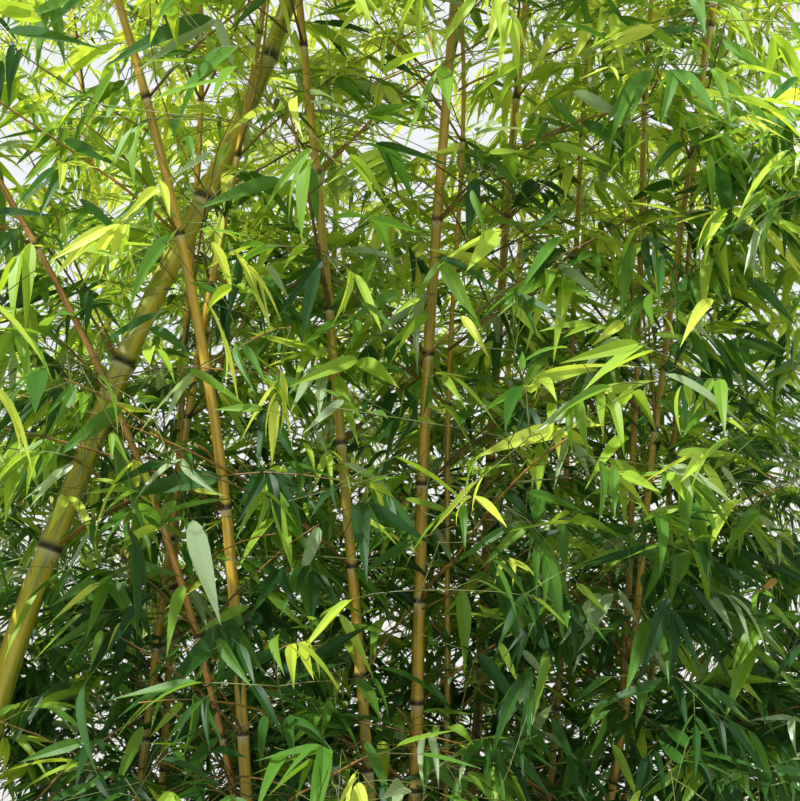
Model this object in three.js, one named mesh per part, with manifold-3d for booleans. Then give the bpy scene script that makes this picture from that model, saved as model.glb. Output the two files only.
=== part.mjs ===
// Potted bamboo: a clump of yellow culms that fans out of one round clay pot, with boughs and masses of leaves.
// Millimetres, +Z up. The origin is the middle of the pot's flat underside. The clump's open face looks to -Y.
import * as THREE from "three";
import { mergeVertices } from "three/addons/utils/BufferGeometryUtils.js";
import Module from "manifold-3d";

const wasm = await Module();
wasm.setup();

// Clear space between pieces that touch
const GAP = 0.3;

// Pot
const POT_HEIGHT = 460;
const POT_RIM_RADIUS = 400;
const POT_NECK_RADIUS = 378;
const POT_FOOT_RADIUS = 292;
const POT_RIM_HEIGHT = 78;
const POT_WALL = 24;
const POT_FLOOR = 32;
const POT_FOOT_BEVEL = 8;
const POT_RIM_ROUND = 12;
const POT_SIDES = 32;
const DRAIN_HOLES = 4;
const DRAIN_RADIUS = 14;
const DRAIN_RING = 170;
const DRAIN_SIDES = 10;

// Soil
const SOIL_TOP = 425;
const SOIL_EDGE_DROP = 9;
const SOIL_FLAT_RADIUS = 346;

// Levels at which a culm's place is given, above the underside of the pot
const LEVELS = [SOIL_TOP + GAP, 1000, 1600, 2200];
const TIP_NOD = 260;
const PAST_TIP = 0.8;
const TIP_THICKNESS = 0.14;
const TAPER = 0.42;
const CULM_SIDES = 6;
const BIG_CULM_SIDES = 8;
const BIG_THICKNESS = 30;

// Nodes of a culm: the longest internode, the share of it that the shortest keeps, and the swollen ring
const INTERNODE = 198;
const SHORTEST_INTERNODE = 0.25;
const INTERNODE_SKEW = 0.9;
const CLUMP_HEIGHT = 2750;
const LAST_NODE_BELOW_TIP = 40;
const RING_HALF_HEIGHT = 7;
const RING_SWELL = 1.16;
const RINGS_BELOW = 2250;
const CULM_STRETCHES = 24;

// Each culm: its foot, its place at each level above, its tip, its thickness at the foot and its first node's height
const CULMS = [
  { name: "culm_big", foot: [-316, -96], low: [-414, -152], middle: [-248, -48], high: [-2, 95],
    tip: [180, 330, 3040], thickness: 37, firstNode: 520, ringed: true },
  { name: "culm_arching", foot: [-24, -88], low: [-48, -118], middle: [-222, -140], high: [-560, -165],
    tip: [-690, -175, 2290], thickness: 12, firstNode: 500 },
  { name: "culm_left_outer", foot: [-290, 10], low: [-212, -8], middle: [-132, -15], high: [-24, 5],
    tip: [60, -60, 2900], thickness: 14, firstNode: 540 },
  { name: "culm_left_inner", foot: [-236, 88], low: [-184, 42], middle: [-154, 45], high: [-132, 100],
    tip: [-230, 290, 2780], thickness: 13, firstNode: 515 },
  { name: "culm_left_main", foot: [-10, -176], low: [-30, -165], middle: [-84, -145], high: [-230, -118],
    tip: [-480, -130, 2860], thickness: 17, firstNode: 505 },
  { name: "culm_front", foot: [180, -138], low: [140, -105], middle: [90, -85], high: [31, -62],
    tip: [-50, -200, 2950], thickness: 16, firstNode: 530 },
  { name: "culm_centre", foot: [166, -72], low: [200, -62], middle: [218, -52], high: [261, -38],
    tip: [340, -40, 3120], thickness: 18.5, firstNode: 513, ringed: true },
  { name: "culm_centre_slim", foot: [216, -14], low: [247, -22], middle: [252, -20], high: [270, 0],
    tip: [150, 180, 2800], thickness: 10, firstNode: 545 },
  { name: "culm_middle_back", foot: [216, 118], low: [296, 138], middle: [330, 142], high: [378, 150],
    tip: [480, 230, 3000], thickness: 16, firstNode: 520 },
  { name: "culm_right_inner", foot: [292, 52], low: [410, 60], middle: [442, 72], high: [478, 100],
    tip: [560, 280, 2640], thickness: 11, firstNode: 500 },
  { name: "culm_right_front", foot: [304, -104], low: [482, -70], middle: [555, -75], high: [636, -110],
    tip: [740, -170, 2560], thickness: 12, firstNode: 535 },
  { name: "culm_right_middle", foot: [334, -30], low: [496, 12], middle: [535, 10], high: [560, 20],
    tip: [640, 40, 2860], thickness: 12, firstNode: 510 },
  { name: "culm_right_outer", foot: [306, 134], low: [548, 140], middle: [622, 140], high: [674, 160],
    tip: [760, 230, 2500], thickness: 11, firstNode: 525 },
  { name: "culm_back_left", foot: [-172, 232], low: [-262, 350], middle: [-330, 430], high: [-410, 510],
    tip: [-520, 620, 2560], thickness: 15, firstNode: 515 },
  { name: "culm_back_middle", foot: [44, 296], low: [40, 420], middle: [50, 480], high: [70, 545],
    tip: [90, 680, 2860], thickness: 15, firstNode: 540 },
  { name: "culm_back_right", foot: [196, 242], low: [310, 380], middle: [370, 450], high: [440, 520],
    tip: [540, 640, 2680], thickness: 14, firstNode: 505 },
];

// Masses of foliage: tiers round the clump, each with its height, the ring that its masses stand on, how many
// there are, the azimuth of the first, and the reach of a mass's space sideways and up
const TIERS = [
  { name: "foot", height: 860, ring: 500, count: 5, first: 12, across: 285, up: 215 },
  { name: "low", height: 1215, ring: 610, count: 5, first: -22, across: 315, up: 240 },
  { name: "waist", height: 1590, ring: 640, count: 5, first: 12, across: 320, up: 245 },
  { name: "chest", height: 1970, ring: 620, count: 5, first: -22, across: 320, up: 245 },
  { name: "shoulder", height: 2330, ring: 500, count: 5, first: 12, across: 290, up: 235 },
  { name: "crown", height: 2670, ring: 360, count: 4, first: -30, across: 265, up: 220 },
  { name: "top", height: 2940, ring: 170, count: 1, first: -10, across: 260, up: 220 },
];
const CLUMP_MIDDLE = [90, 80];
const STAGGER = 60;
const FRONT_SET_BACK = 0.34;

// Boughs
const BOUGH_RISE = 0.75;
const BOUGH_LEAST = 205;
const BOUGH_SHARE = 0.42;
const BOUGH_THICKNESS = 15;
const BOUGH_TIP_THICKNESS = 12;
const BOUGH_ARCH = 0.1;
const BOUGH_CLEAR = 5;
const BOUGH_SIDES = 5;
const BOUGH_STRETCHES = 3;
const CULMS_TRIED = 7;
const START_BELOW = 0.35;
const AIM_BELOW = 0.25;

// Twigs and leaves of the solid masses, which are larger than life
const STEM_THICKNESS = 12;
const STEM_TIP_THICKNESS = 9;
const STEM_REACH = 0.5;
const STEM_LIFT = 0.1;
const STEM_LEAST_SWING = 0.35;
const STEM_SWING = 0.45;
const STEM_NODES = 6;
const END_TWIG = 0.99;
const TWIG_TRIES = 3;
const TWIG_THICKNESS = 4;
const TWIG_TIP_THICKNESS = 3.6;
const TWIG_ANGLE = 58;
const TWIG_TURN = 75;
const TWIG_LEAST = 30;
const LEAF_PART = 0.8;
const LEAF_LENGTH = 250;
const LEAF_WIDTH = 60;
const LEAF_THICKNESS = 4;
const LEAF_WIDEST = 0.34;
const LEAF_DROOP = 0.62;
const LEAF_SPREAD = 0.62;
const LEAF_ROLL = 1.2;
const FIRST_SEED = 1000;
const SHORTEST_LEAF = 0.62;
const SPACE_CLEAR = 3;
const LIMB_CLEAR = 4;

// A three-cornered ring of radius 1 is this wide each way, and this deep in all
const HALF_WIDTH = Math.sqrt(3) / 2;
const DEPTH = 1.5;

// A limb is steep when this share of its way is upward, and its direction is read over a short step of its path
const STEEP = 0.6;
const SHORT_STEP = 0.01;

const UP = new THREE.Vector3(0, 0, 1);
const DEGREE = Math.PI / 180;

const CULM_FINISH = { color: 0xc9a53c, roughness: 0.42, metalness: 0 };
const BOUGH_FINISH = { color: 0xa8762f, roughness: 0.5, metalness: 0 };
const LEAF_FINISH = { color: 0x6f9a34, roughness: 0.5, metalness: 0 };
const POT_FINISH = { color: 0xb4694a, roughness: 0.85, metalness: 0 };
const SOIL_FINISH = { color: 0x3b2c20, roughness: 1, metalness: 0 };

const plant = new THREE.Group();

// The same numbers in the same order for the same seed
function seeded(seed) {
  let state = seed >>> 0;
  return () => {
    state = (state + 0x6d2b79f5) >>> 0;
    let mixed = Math.imul(state ^ (state >>> 15), state | 1);
    mixed ^= mixed + Math.imul(mixed ^ (mixed >>> 7), mixed | 61);
    return ((mixed ^ (mixed >>> 14)) >>> 0) / 4294967296;
  };
}

const vector = (x, y, z) => new THREE.Vector3(x, y, z);
const blend = (a, b, share) => a + (b - a) * share;

// A closed geometry as a solid that can be joined and cut
function solidOf(geometry) {
  const bare = geometry.clone();
  for (const name of Object.keys(bare.attributes)) {
    if (name !== "position") bare.deleteAttribute(name);
  }
  const merged = mergeVertices(bare, 1e-3);
  return new wasm.Manifold(
    new wasm.Mesh({
      numProp: 3,
      vertProperties: merged.attributes.position.array,
      triVerts: new Uint32Array(merged.index.array),
    }),
  );
}

function geometryOf(solid) {
  const mesh = solid.getMesh();
  const geometry = new THREE.BufferGeometry();
  geometry.setAttribute("position", new THREE.BufferAttribute(new Float32Array(mesh.vertProperties), 3));
  geometry.setIndex(new THREE.BufferAttribute(new Uint32Array(mesh.triVerts), 1));
  return geometry;
}

// The largest body of a joined solid: scraps are dropped, and a hollow sealed by the joining is filled
function wholeBody(solid) {
  return solid.decompose().reduce((best, body) => (body.volume() > best.volume() ? body : best));
}

function addPiece(name, solid, finish) {
  const geometry = geometryOf(solid);
  geometry.computeVertexNormals();
  const piece = new THREE.Mesh(geometry, new THREE.MeshStandardMaterial(finish));
  piece.name = name;
  plant.add(piece);
}

// A closed solid through rings of corners: a cylinder whose rings are carried to their places. Each ring has a
// middle, two directions square to its way and the radius along each.
function ringSolid(rings, sides) {
  const geometry = new THREE.CylinderGeometry(1, 1, 1, sides, rings.length - 1);
  const place = geometry.attributes.position;
  for (let i = 0; i < place.count; i++) {
    const ring = rings[Math.round((place.getY(i) + 0.5) * (rings.length - 1))];
    const point = ring.centre.clone();
    point.addScaledVector(ring.first, place.getZ(i) * ring.radius);
    point.addScaledVector(ring.second, place.getX(i) * (ring.wide ?? ring.radius));
    place.setXYZ(i, point.x, point.y, point.z);
  }
  return solidOf(geometry);
}

// The direction of a path at a share of its length
function wayAt(path, t) {
  return path(Math.min(t + SHORT_STEP, 1)).sub(path(Math.max(t - SHORT_STEP, 0))).normalize();
}

// A closed tapering limb along a path, with a ring at each station. Its first ring can be cut square to another
// way.
function limbSolid(path, radiusAt, sides, stations, footWay = null) {
  const aside = Math.abs(wayAt(path, 0.5).z) > STEEP ? vector(1, 0, 0) : UP;
  const rings = stations.map((t, k) => {
    const along = wayAt(path, t);
    if (footWay && k === 0) along.copy(footWay);
    const first = aside.clone().addScaledVector(along, -aside.dot(along)).normalize();
    return { centre: path(t), first, second: along.clone().cross(first), radius: radiusAt(t, k) };
  });
  return ringSolid(rings, sides);
}

const evenStations = (count) => Array.from({ length: count + 1 }, (_, k) => k / count);

// The path of a culm: a smooth curve through its places at the levels, whose tip nods over
function culmPath(culm) {
  const places = [culm.foot, culm.low, culm.middle, culm.high].map(([x, y], k) => vector(x, y, LEVELS[k]));
  const kept = places.filter((place) => place.z < culm.tip[2] - TIP_NOD / 3);
  const tip = vector(...culm.tip);
  const before = kept[kept.length - 1];
  const beyond = tip.clone().addScaledVector(tip.clone().sub(before), PAST_TIP);
  beyond.z = tip.z - TIP_NOD;
  const curve = new THREE.CatmullRomCurve3([...kept, tip, beyond], false, "catmullrom", 0.5);
  const share = kept.length / (kept.length + 1);
  return (t) => curve.getPoint(t * share);
}

const culmRadius = (culm) => (t) => (culm.thickness / 2) * blend(TIP_THICKNESS, 1, (1 - t) ** TAPER);

// The share of a path at which it first reaches a height
function shareAtHeight(path, height) {
  let low = 0;
  let high = 1;
  for (let k = 0; k < 40; k++) {
    const middle = (low + high) / 2;
    if (path(middle).z < height) low = middle;
    else high = middle;
  }
  return low;
}

// The shares of a culm's path at its nodes: internodes are longest half way up
function nodeShares(culm, path) {
  const shares = [];
  let height = culm.firstNode;
  while (height < culm.tip[2] - LAST_NODE_BELOW_TIP) {
    shares.push(shareAtHeight(path, height));
    const rise = ((height - SOIL_TOP) / CLUMP_HEIGHT) ** INTERNODE_SKEW;
    height += INTERNODE * blend(SHORTEST_INTERNODE, 1, Math.sin(Math.PI * rise) ** 2);
  }
  return shares;
}

// The nodes that a culm's solid has: all where their swollen rings are modelled, each second one elsewhere
const solidNodes = (culm) => (culm.ringed ? culm.nodes : culm.nodes.filter((_, k) => k % 2));

// The shares of a culm's path at which its solid has corners, and which of these are swollen
function culmStations(culm) {
  const shares = [0];
  const swollen = new Set();
  const half = RING_HALF_HEIGHT / (culm.tip[2] - SOIL_TOP);
  for (const share of solidNodes(culm)) {
    if (culm.ringed && culm.path(share).z < RINGS_BELOW) {
      swollen.add(shares.length + 1);
      shares.push(share - half, share, share + half);
    } else {
      shares.push(share);
    }
  }
  shares.push(1);
  return { shares, swollen };
}

// Shortest distance between two straight segments
function segmentDistance(a, b, c, d) {
  const u = b.clone().sub(a);
  const v = d.clone().sub(c);
  const w = a.clone().sub(c);
  const uu = u.dot(u);
  const uv = u.dot(v);
  const vv = v.dot(v);
  const uw = u.dot(w);
  const vw = v.dot(w);
  const spread = uu * vv - uv * uv;
  let s = spread > 1e-9 ? THREE.MathUtils.clamp((uv * vw - vv * uw) / spread, 0, 1) : 0;
  const t = THREE.MathUtils.clamp((uv * s + vw) / vv, 0, 1);
  s = THREE.MathUtils.clamp((uv * t - uw) / uu, 0, 1);
  return w.addScaledVector(u, s).addScaledVector(v, -t).length();
}

// Every limb made so far, as short straight stretches that twigs and leaves keep clear of
const limbs = [];

function noteLimb(owner, path, radiusAt, pieces) {
  for (let k = 0; k < pieces; k++) {
    const from = k / pieces;
    limbs.push({ owner, a: path(from), b: path((k + 1) / pieces), radius: radiusAt(from) * RING_SWELL });
  }
}

function clearOfLimbs(a, b, halfWidth, clear, besides) {
  const apart = (limb) => segmentDistance(a, b, limb.a, limb.b) - limb.radius - halfWidth;
  return limbs.every((limb) => besides.includes(limb.owner) || apart(limb) > clear);
}

// A solid turned from a profile of radius and height
function turnedSolid(profile) {
  const points = profile.map(([radius, height]) => new THREE.Vector2(radius, height));
  return solidOf(new THREE.LatheGeometry(points, POT_SIDES).rotateX(Math.PI / 2));
}

function makePot() {
  const outside = POT_HEIGHT - POT_RIM_HEIGHT;
  const round = POT_RIM_ROUND;
  const inside = POT_RIM_RADIUS - POT_WALL * 1.5;
  const profile = [
    [0, 0],
    [POT_FOOT_RADIUS - POT_FOOT_BEVEL, 0],
    [POT_FOOT_RADIUS, POT_FOOT_BEVEL],
    [POT_NECK_RADIUS, outside],
    [POT_RIM_RADIUS - round / 2, outside + round / 2],
    [POT_RIM_RADIUS, outside + round * 1.5],
    [POT_RIM_RADIUS, POT_HEIGHT - round],
    [POT_RIM_RADIUS - round * 0.3, POT_HEIGHT - round * 0.3],
    [POT_RIM_RADIUS - round, POT_HEIGHT],
    [inside + round, POT_HEIGHT],
    [inside, POT_HEIGHT - round],
    [POT_FOOT_RADIUS - POT_WALL, POT_FLOOR],
    [0, POT_FLOOR],
  ];
  let pot = turnedSolid(profile);
  for (let k = 0; k < DRAIN_HOLES; k++) {
    const angle = ((k + 0.5) / DRAIN_HOLES) * 2 * Math.PI;
    const drill = new THREE.CylinderGeometry(DRAIN_RADIUS, DRAIN_RADIUS, POT_FLOOR * 3, DRAIN_SIDES);
    drill.rotateX(Math.PI / 2).translate(DRAIN_RING * Math.cos(angle), DRAIN_RING * Math.sin(angle), 0);
    pot = pot.subtract(solidOf(drill));
  }
  addPiece("pot", pot, POT_FINISH);
  const wallAt = (height) => {
    const top = POT_HEIGHT - round;
    const share = (height - POT_FLOOR) / (top - POT_FLOOR);
    return blend(POT_FOOT_RADIUS - POT_WALL, inside, share) - 2 * GAP;
  };
  const soilProfile = [
    [0, POT_FLOOR + GAP],
    [wallAt(POT_FLOOR), POT_FLOOR + GAP],
    [wallAt(SOIL_TOP - SOIL_EDGE_DROP), SOIL_TOP - SOIL_EDGE_DROP],
    [SOIL_FLAT_RADIUS, SOIL_TOP],
    [0, SOIL_TOP],
  ];
  addPiece("soil", turnedSolid(soilProfile), SOIL_FINISH);
}

function makeCulm(culm) {
  culm.path = culmPath(culm);
  culm.radiusAt = culmRadius(culm);
  culm.nodes = nodeShares(culm, culm.path);
  const { shares, swollen } = culmStations(culm);
  const sides = culm.thickness > BIG_THICKNESS ? BIG_CULM_SIDES : CULM_SIDES;
  const radiusAt = (t, k) => culm.radiusAt(t) * (swollen.has(k) ? RING_SWELL : 1);
  addPiece(culm.name, limbSolid(culm.path, radiusAt, sides, shares, UP), CULM_FINISH);
  const wider = (t, k) => radiusAt(t, k) + GAP / Math.cos(Math.PI / sides);
  culm.clearance = limbSolid(culm.path, wider, sides, shares, UP);
  noteLimb(culm.name, culm.path, culm.radiusAt, CULM_STRETCHES);
}

// The places of the masses: tiers of rings, set back at the clump's open face
function massPlaces() {
  const places = [];
  for (const tier of TIERS) {
    for (let k = 0; k < tier.count; k++) {
      const angle = (tier.first + (360 * k) / tier.count) * DEGREE;
      const front = Math.max(0, -Math.sin(angle));
      const ring = tier.ring * (1 - FRONT_SET_BACK * front);
      const centre = vector(
        CLUMP_MIDDLE[0] + ring * Math.cos(angle),
        CLUMP_MIDDLE[1] + ring * Math.sin(angle),
        tier.height + (k % 2 ? STAGGER : -STAGGER),
      );
      places.push({ name: `foliage_${tier.name}_${k + 1}`, centre, across: tier.across, up: tier.up });
    }
  }
  return places;
}

// How deep a point lies in a mass's space: 0 in the middle, 1 on its border
function depthIn(mass, point) {
  const dx = (point.x - mass.centre.x) / mass.across;
  const dy = (point.y - mass.centre.y) / mass.across;
  const dz = (point.z - mass.centre.z) / mass.up;
  return Math.sqrt(dx * dx + dy * dy + dz * dz);
}

// Distance from a point inside a mass's space to its border, along a direction
function wayOut(mass, point, direction) {
  const scale = (v) => vector(v.x / mass.across, v.y / mass.across, v.z / mass.up);
  const from = scale(point.clone().sub(mass.centre));
  const along = scale(direction);
  const a = along.dot(along);
  const b = from.dot(along);
  const c = from.dot(from) - 1;
  return c < 0 ? (-b + Math.sqrt(b * b - a * c)) / a : 0;
}

// A gently arched path between two places
function archedPath(from, to, arch) {
  const middle = from.clone().add(to).multiplyScalar(0.5);
  middle.z += arch * from.distanceTo(to);
  const curve = new THREE.QuadraticBezierCurve3(from, middle, to);
  return (t) => curve.getPoint(t);
}

// Chooses the culm that carries a mass, and the node where its bough or stem starts
function chooseStart(mass) {
  const tries = CULMS.map((culm) => {
    const level = mass.centre.z - mass.up * AIM_BELOW;
    const near = culm.path(shareAtHeight(culm.path, Math.min(level, culm.tip[2] - LAST_NODE_BELOW_TIP)));
    const sideways = Math.hypot(near.x - mass.centre.x, near.y - mass.centre.y);
    return { culm, off: sideways + Math.abs(near.z - level) };
  });
  tries.sort((a, b) => a.off - b.off);
  for (const { culm, off } of tries.slice(0, CULMS_TRIED)) {
    const away = Math.max(0, off - mass.across / 2);
    const wanted = mass.centre.z - mass.up * START_BELOW - away * BOUGH_RISE;
    const share = solidNodes(culm).reduce((best, node) =>
      Math.abs(culm.path(node).z - wanted) < Math.abs(culm.path(best).z - wanted) ? node : best,
    );
    const start = culm.path(share);
    const target = mass.centre.clone();
    target.z -= mass.up * AIM_BELOW;
    const clear = clearOfLimbs(start, target, BOUGH_THICKNESS / 2, BOUGH_CLEAR, [culm.name]);
    if (clear) return { culm, start, target };
  }
  throw new Error(mass.name + " finds no culm with a clear way to it");
}

// A bough carries a mass whose middle is far from its culm. It ends where the leaves begin.
function makeBough(mass) {
  const { culm, start, target } = chooseStart(mass);
  mass.culm = culm;
  mass.start = start;
  mass.hasBough = start.distanceTo(target) > BOUGH_LEAST;
  if (!mass.hasBough) return;
  const boughName = mass.name.replace("foliage", "bough");
  const path = archedPath(start, start.clone().lerp(target, BOUGH_SHARE), BOUGH_ARCH);
  const radiusAt = (t) => blend(BOUGH_THICKNESS, BOUGH_TIP_THICKNESS, t) / 2;
  const bough = limbSolid(path, radiusAt, BOUGH_SIDES, evenStations(BOUGH_STRETCHES));
  addPiece(boughName, wholeBody(bough.subtract(culm.clearance)), BOUGH_FINISH);
  noteLimb(boughName, path, radiusAt, BOUGH_STRETCHES);
  mass.startWay = wayAt(path, 1);
  mass.start = path(1).addScaledVector(mass.startWay, GAP);
}

// A mass's main stem: from the bough's tip or the culm, through the middle of its space. One that starts at a
// culm leaves it sideways before it rises.
function makeStem(mass) {
  const outward = mass.centre.clone().sub(mass.start).setZ(0);
  if (outward.length() < mass.across * STEM_LEAST_SWING) {
    outward.set(mass.centre.x - CLUMP_MIDDLE[0], mass.centre.y - CLUMP_MIDDLE[1], 0);
  }
  outward.normalize();
  const end = mass.centre.clone().addScaledVector(outward, mass.across * STEM_REACH);
  end.z += mass.up * STEM_LIFT;
  const middle = mass.start.clone().lerp(end, 0.5);
  const length = mass.start.distanceTo(end);
  if (mass.hasBough) middle.z += length * BOUGH_ARCH;
  else middle.copy(mass.start).addScaledVector(outward, length * STEM_SWING).setZ(middle.z);
  const curve = new THREE.QuadraticBezierCurve3(mass.start, middle, end);
  mass.path = (t) => curve.getPoint(t);
  mass.stemRadius = (t) => blend(STEM_THICKNESS, STEM_TIP_THICKNESS, t) / 2;
  noteLimb(mass.name, mass.path, mass.stemRadius, STEM_NODES + 1);
}

// A twig and the leaf at its end, as one solid of three-cornered rings: the blade is keeled below
function twigSolid(from, leaf) {
  const along = leaf.root.clone().sub(from).normalize();
  const level = leaf.across.clone().addScaledVector(along, -leaf.across.dot(along)).normalize();
  const under = level.clone().cross(along);
  const widest = leaf.root.clone().addScaledVector(leaf.way, leaf.length * LEAF_WIDEST);
  const end = leaf.root.clone().addScaledVector(leaf.way, leaf.length);
  const keel = leaf.face.clone().negate();
  const blade = { first: keel, second: leaf.across };
  const rings = [
    { centre: from, first: under, second: level, radius: TWIG_THICKNESS / 2 },
    { centre: leaf.root, first: under, second: level, radius: TWIG_TIP_THICKNESS / 2 },
    { centre: widest, ...blade, radius: LEAF_THICKNESS / DEPTH, wide: leaf.half / HALF_WIDTH },
    { centre: end, ...blade, radius: 0 },
  ];
  return ringSolid(rings, 3);
}

// The way, length and width of a leaf that hangs from a root on a twig, held inside its mass's space
function layLeaf(mass, root, along, random) {
  const level = vector(-along.y, along.x, 0).normalize();
  const droop = LEAF_DROOP * (0.4 + random());
  const spread = LEAF_SPREAD * (random() - 0.5);
  const wanted = LEAF_LENGTH * (0.85 + 0.35 * random());
  const roll = (random() - 0.5) * LEAF_ROLL;
  const way = along.clone().addScaledVector(UP, -droop).addScaledVector(level, spread).normalize();
  const across = UP.clone().cross(way).normalize().applyAxisAngle(way, roll);
  const face = way.clone().cross(across).normalize();
  const length = Math.min(wanted, wayOut(mass, root, way) * 0.99);
  return { root, way, across, face, length, half: (LEAF_WIDTH / 2) * (length / LEAF_LENGTH) };
}

// Grows a mass: twigs stand in pairs at the nodes of its stem, each with a leaf at its end. One that would leave
// the space, cross half way to another mass or touch a limb is tried another way, and then left out.
function growMass(mass, index, masses) {
  const random = seeded(FIRST_SEED + index);
  const own = [mass.name];
  const borders = masses
    .filter((other) => other !== mass)
    .map((other) => ({
      middle: mass.centre.clone().add(other.centre).multiplyScalar(0.5),
      apart: other.centre.clone().sub(mass.centre).normalize(),
    }));
  const keeps = (point) =>
    depthIn(mass, point) < 1 &&
    borders.every(({ middle, apart }) => point.clone().sub(middle).dot(apart) < -SPACE_CLEAR);
  const fits = (leaf) => {
    const end = leaf.root.clone().addScaledVector(leaf.way, leaf.length);
    const widest = leaf.root.clone().addScaledVector(leaf.way, leaf.length * LEAF_WIDEST);
    const corners = [-1, 1].map((side) => widest.clone().addScaledVector(leaf.across, side * leaf.half));
    return (
      leaf.length > LEAF_LENGTH * SHORTEST_LEAF &&
      [leaf.root, end, ...corners].every(keeps) &&
      clearOfLimbs(leaf.root, end, leaf.half * 0.8, LIMB_CLEAR, own)
    );
  };
  let body = limbSolid(mass.path, mass.stemRadius, 3, evenStations(STEM_NODES + 1), mass.startWay);
  if (!mass.hasBough) body = wholeBody(body.subtract(mass.culm.clearance));
  const growTwig = (t, way) => {
    const from = mass.path(t);
    const length = Math.max(TWIG_LEAST, wayOut(mass, from, way) - LEAF_LENGTH * LEAF_PART);
    const tip = from.clone().addScaledVector(way, length);
    const leaf = layLeaf(mass, tip, way, random);
    const clearFrom = from.clone().addScaledVector(way, TWIG_THICKNESS);
    if (!fits(leaf) || !clearOfLimbs(clearFrom, tip, TWIG_THICKNESS / 2, LIMB_CLEAR, own)) return false;
    body = wholeBody(body.add(twigSolid(from, leaf)));
    return true;
  };
  for (let k = 0; k < STEM_NODES; k++) {
    const t = (k + 1) / (STEM_NODES + 1);
    const along = wayAt(mass.path, t);
    const aside = along.clone().cross(UP).normalize();
    for (const side of [-1, 1]) {
      for (let tries = 0; tries < TWIG_TRIES; tries++) {
        const turn = (random() * 2 - 1) * TWIG_TURN * DEGREE;
        const angle = TWIG_ANGLE * (0.8 + 0.4 * random()) * DEGREE;
        const sideways = aside.clone().multiplyScalar(side).applyAxisAngle(along, turn);
        const way = along.clone().multiplyScalar(Math.cos(angle));
        if (growTwig(t, way.addScaledVector(sideways, Math.sin(angle)))) break;
      }
    }
  }
  growTwig(END_TWIG, wayAt(mass.path, 1));
  addPiece(mass.name, body, LEAF_FINISH);
}

makePot();
CULMS.forEach(makeCulm);
const masses = massPlaces();
masses.forEach(makeBough);
masses.forEach(makeStem);
masses.forEach(growMass);

export default plant;
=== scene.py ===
import collections
import itertools
import math
import random

import bmesh
import bpy
import numpy as np
from mathutils import Matrix, Vector, noise
from mathutils.kdtree import KDTree


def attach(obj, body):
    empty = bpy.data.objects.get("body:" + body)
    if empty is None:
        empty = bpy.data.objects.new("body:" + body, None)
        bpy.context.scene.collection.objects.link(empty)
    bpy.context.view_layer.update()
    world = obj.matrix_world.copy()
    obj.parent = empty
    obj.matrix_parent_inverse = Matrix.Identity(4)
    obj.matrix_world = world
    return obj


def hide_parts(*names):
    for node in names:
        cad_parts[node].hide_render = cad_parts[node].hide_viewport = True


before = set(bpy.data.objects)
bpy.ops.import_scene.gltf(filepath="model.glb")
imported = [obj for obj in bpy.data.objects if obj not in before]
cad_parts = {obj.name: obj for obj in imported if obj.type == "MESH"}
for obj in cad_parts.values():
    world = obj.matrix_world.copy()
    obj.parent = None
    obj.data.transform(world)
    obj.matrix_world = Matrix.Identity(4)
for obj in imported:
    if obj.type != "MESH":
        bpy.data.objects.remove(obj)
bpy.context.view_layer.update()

# Growth is worked out in millimetres, as the solids are, and the meshes are in metres
MM = 0.001
UP = Vector((0, 0, 1))
DEGREE = math.pi / 180

# Camera: where the photograph was taken from, and its focal length in pixels of its 800 x 801 image
PHOTO_LONG_SIDE = 801
PHOTO_MIDDLE = (400, 400.5)
SENSOR = 36
CAMERA_PLACE = (180, -2200, 1600)
CAMERA_FOCUS = 1467
CAMERA_FAR = 200

camera_data = bpy.data.cameras.new("camera")
camera_data.sensor_width = SENSOR
camera_data.lens = CAMERA_FOCUS * SENSOR / PHOTO_LONG_SIDE
camera_data.clip_end = CAMERA_FAR
camera = bpy.data.objects.new("camera", camera_data)
camera.location = Vector(CAMERA_PLACE) * MM
camera.rotation_euler = (math.pi / 2, 0, 0)
bpy.context.collection.objects.link(camera)
bpy.context.scene.camera = camera

# Pot and soil
POT_HEIGHT = 460
POT_RIM_RADIUS = 400
POT_NECK_RADIUS = 378
POT_FOOT_RADIUS = 292
POT_RIM_HEIGHT = 78
POT_WALL = 24
POT_INSIDE = POT_RIM_RADIUS - POT_WALL * 1.5
POT_FLOOR = 32
POT_STEPS = 120
POT_BULGE = 4.5
THROWING_LINES = 25
THROWING_DEPTH = 0.7
THROWING_TURN = 2.2
RIM_ROLL = (18, 16)
RIM_ROLL_STEPS = 9
DRAIN_HOLES = 4
DRAIN_RADIUS = 14
DRAIN_RING = 170
DRAIN_SIDES = 24
SHARP_ANGLE = 40
SOIL_TOP = 425
SOIL_EDGE_DROP = 9
SOIL_RINGS = 60
SOIL_EDGE_RINGS = 5
SOIL_STEPS = 150
GAP = 0.3

# Culms, as in the solids: levels, nodding tips, taper and spacing of the nodes
LEVELS = (SOIL_TOP + GAP, 1000, 1600, 2200)
TIP_NOD = 260
NEAR_TIP = TIP_NOD / 3
PAST_TIP = 0.8
TIP_THICKNESS = 0.14
TAPER = 0.42
INTERNODE = 198
SHORTEST_INTERNODE = 0.25
INTERNODE_SKEW = 0.9
CLUMP_HEIGHT = 2750
LAST_NODE_BELOW_TIP = 40
RING_SWELL = 1.16
CULM_STRETCHES = 24
HALVINGS = 40
TINY = 1e-9

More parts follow.
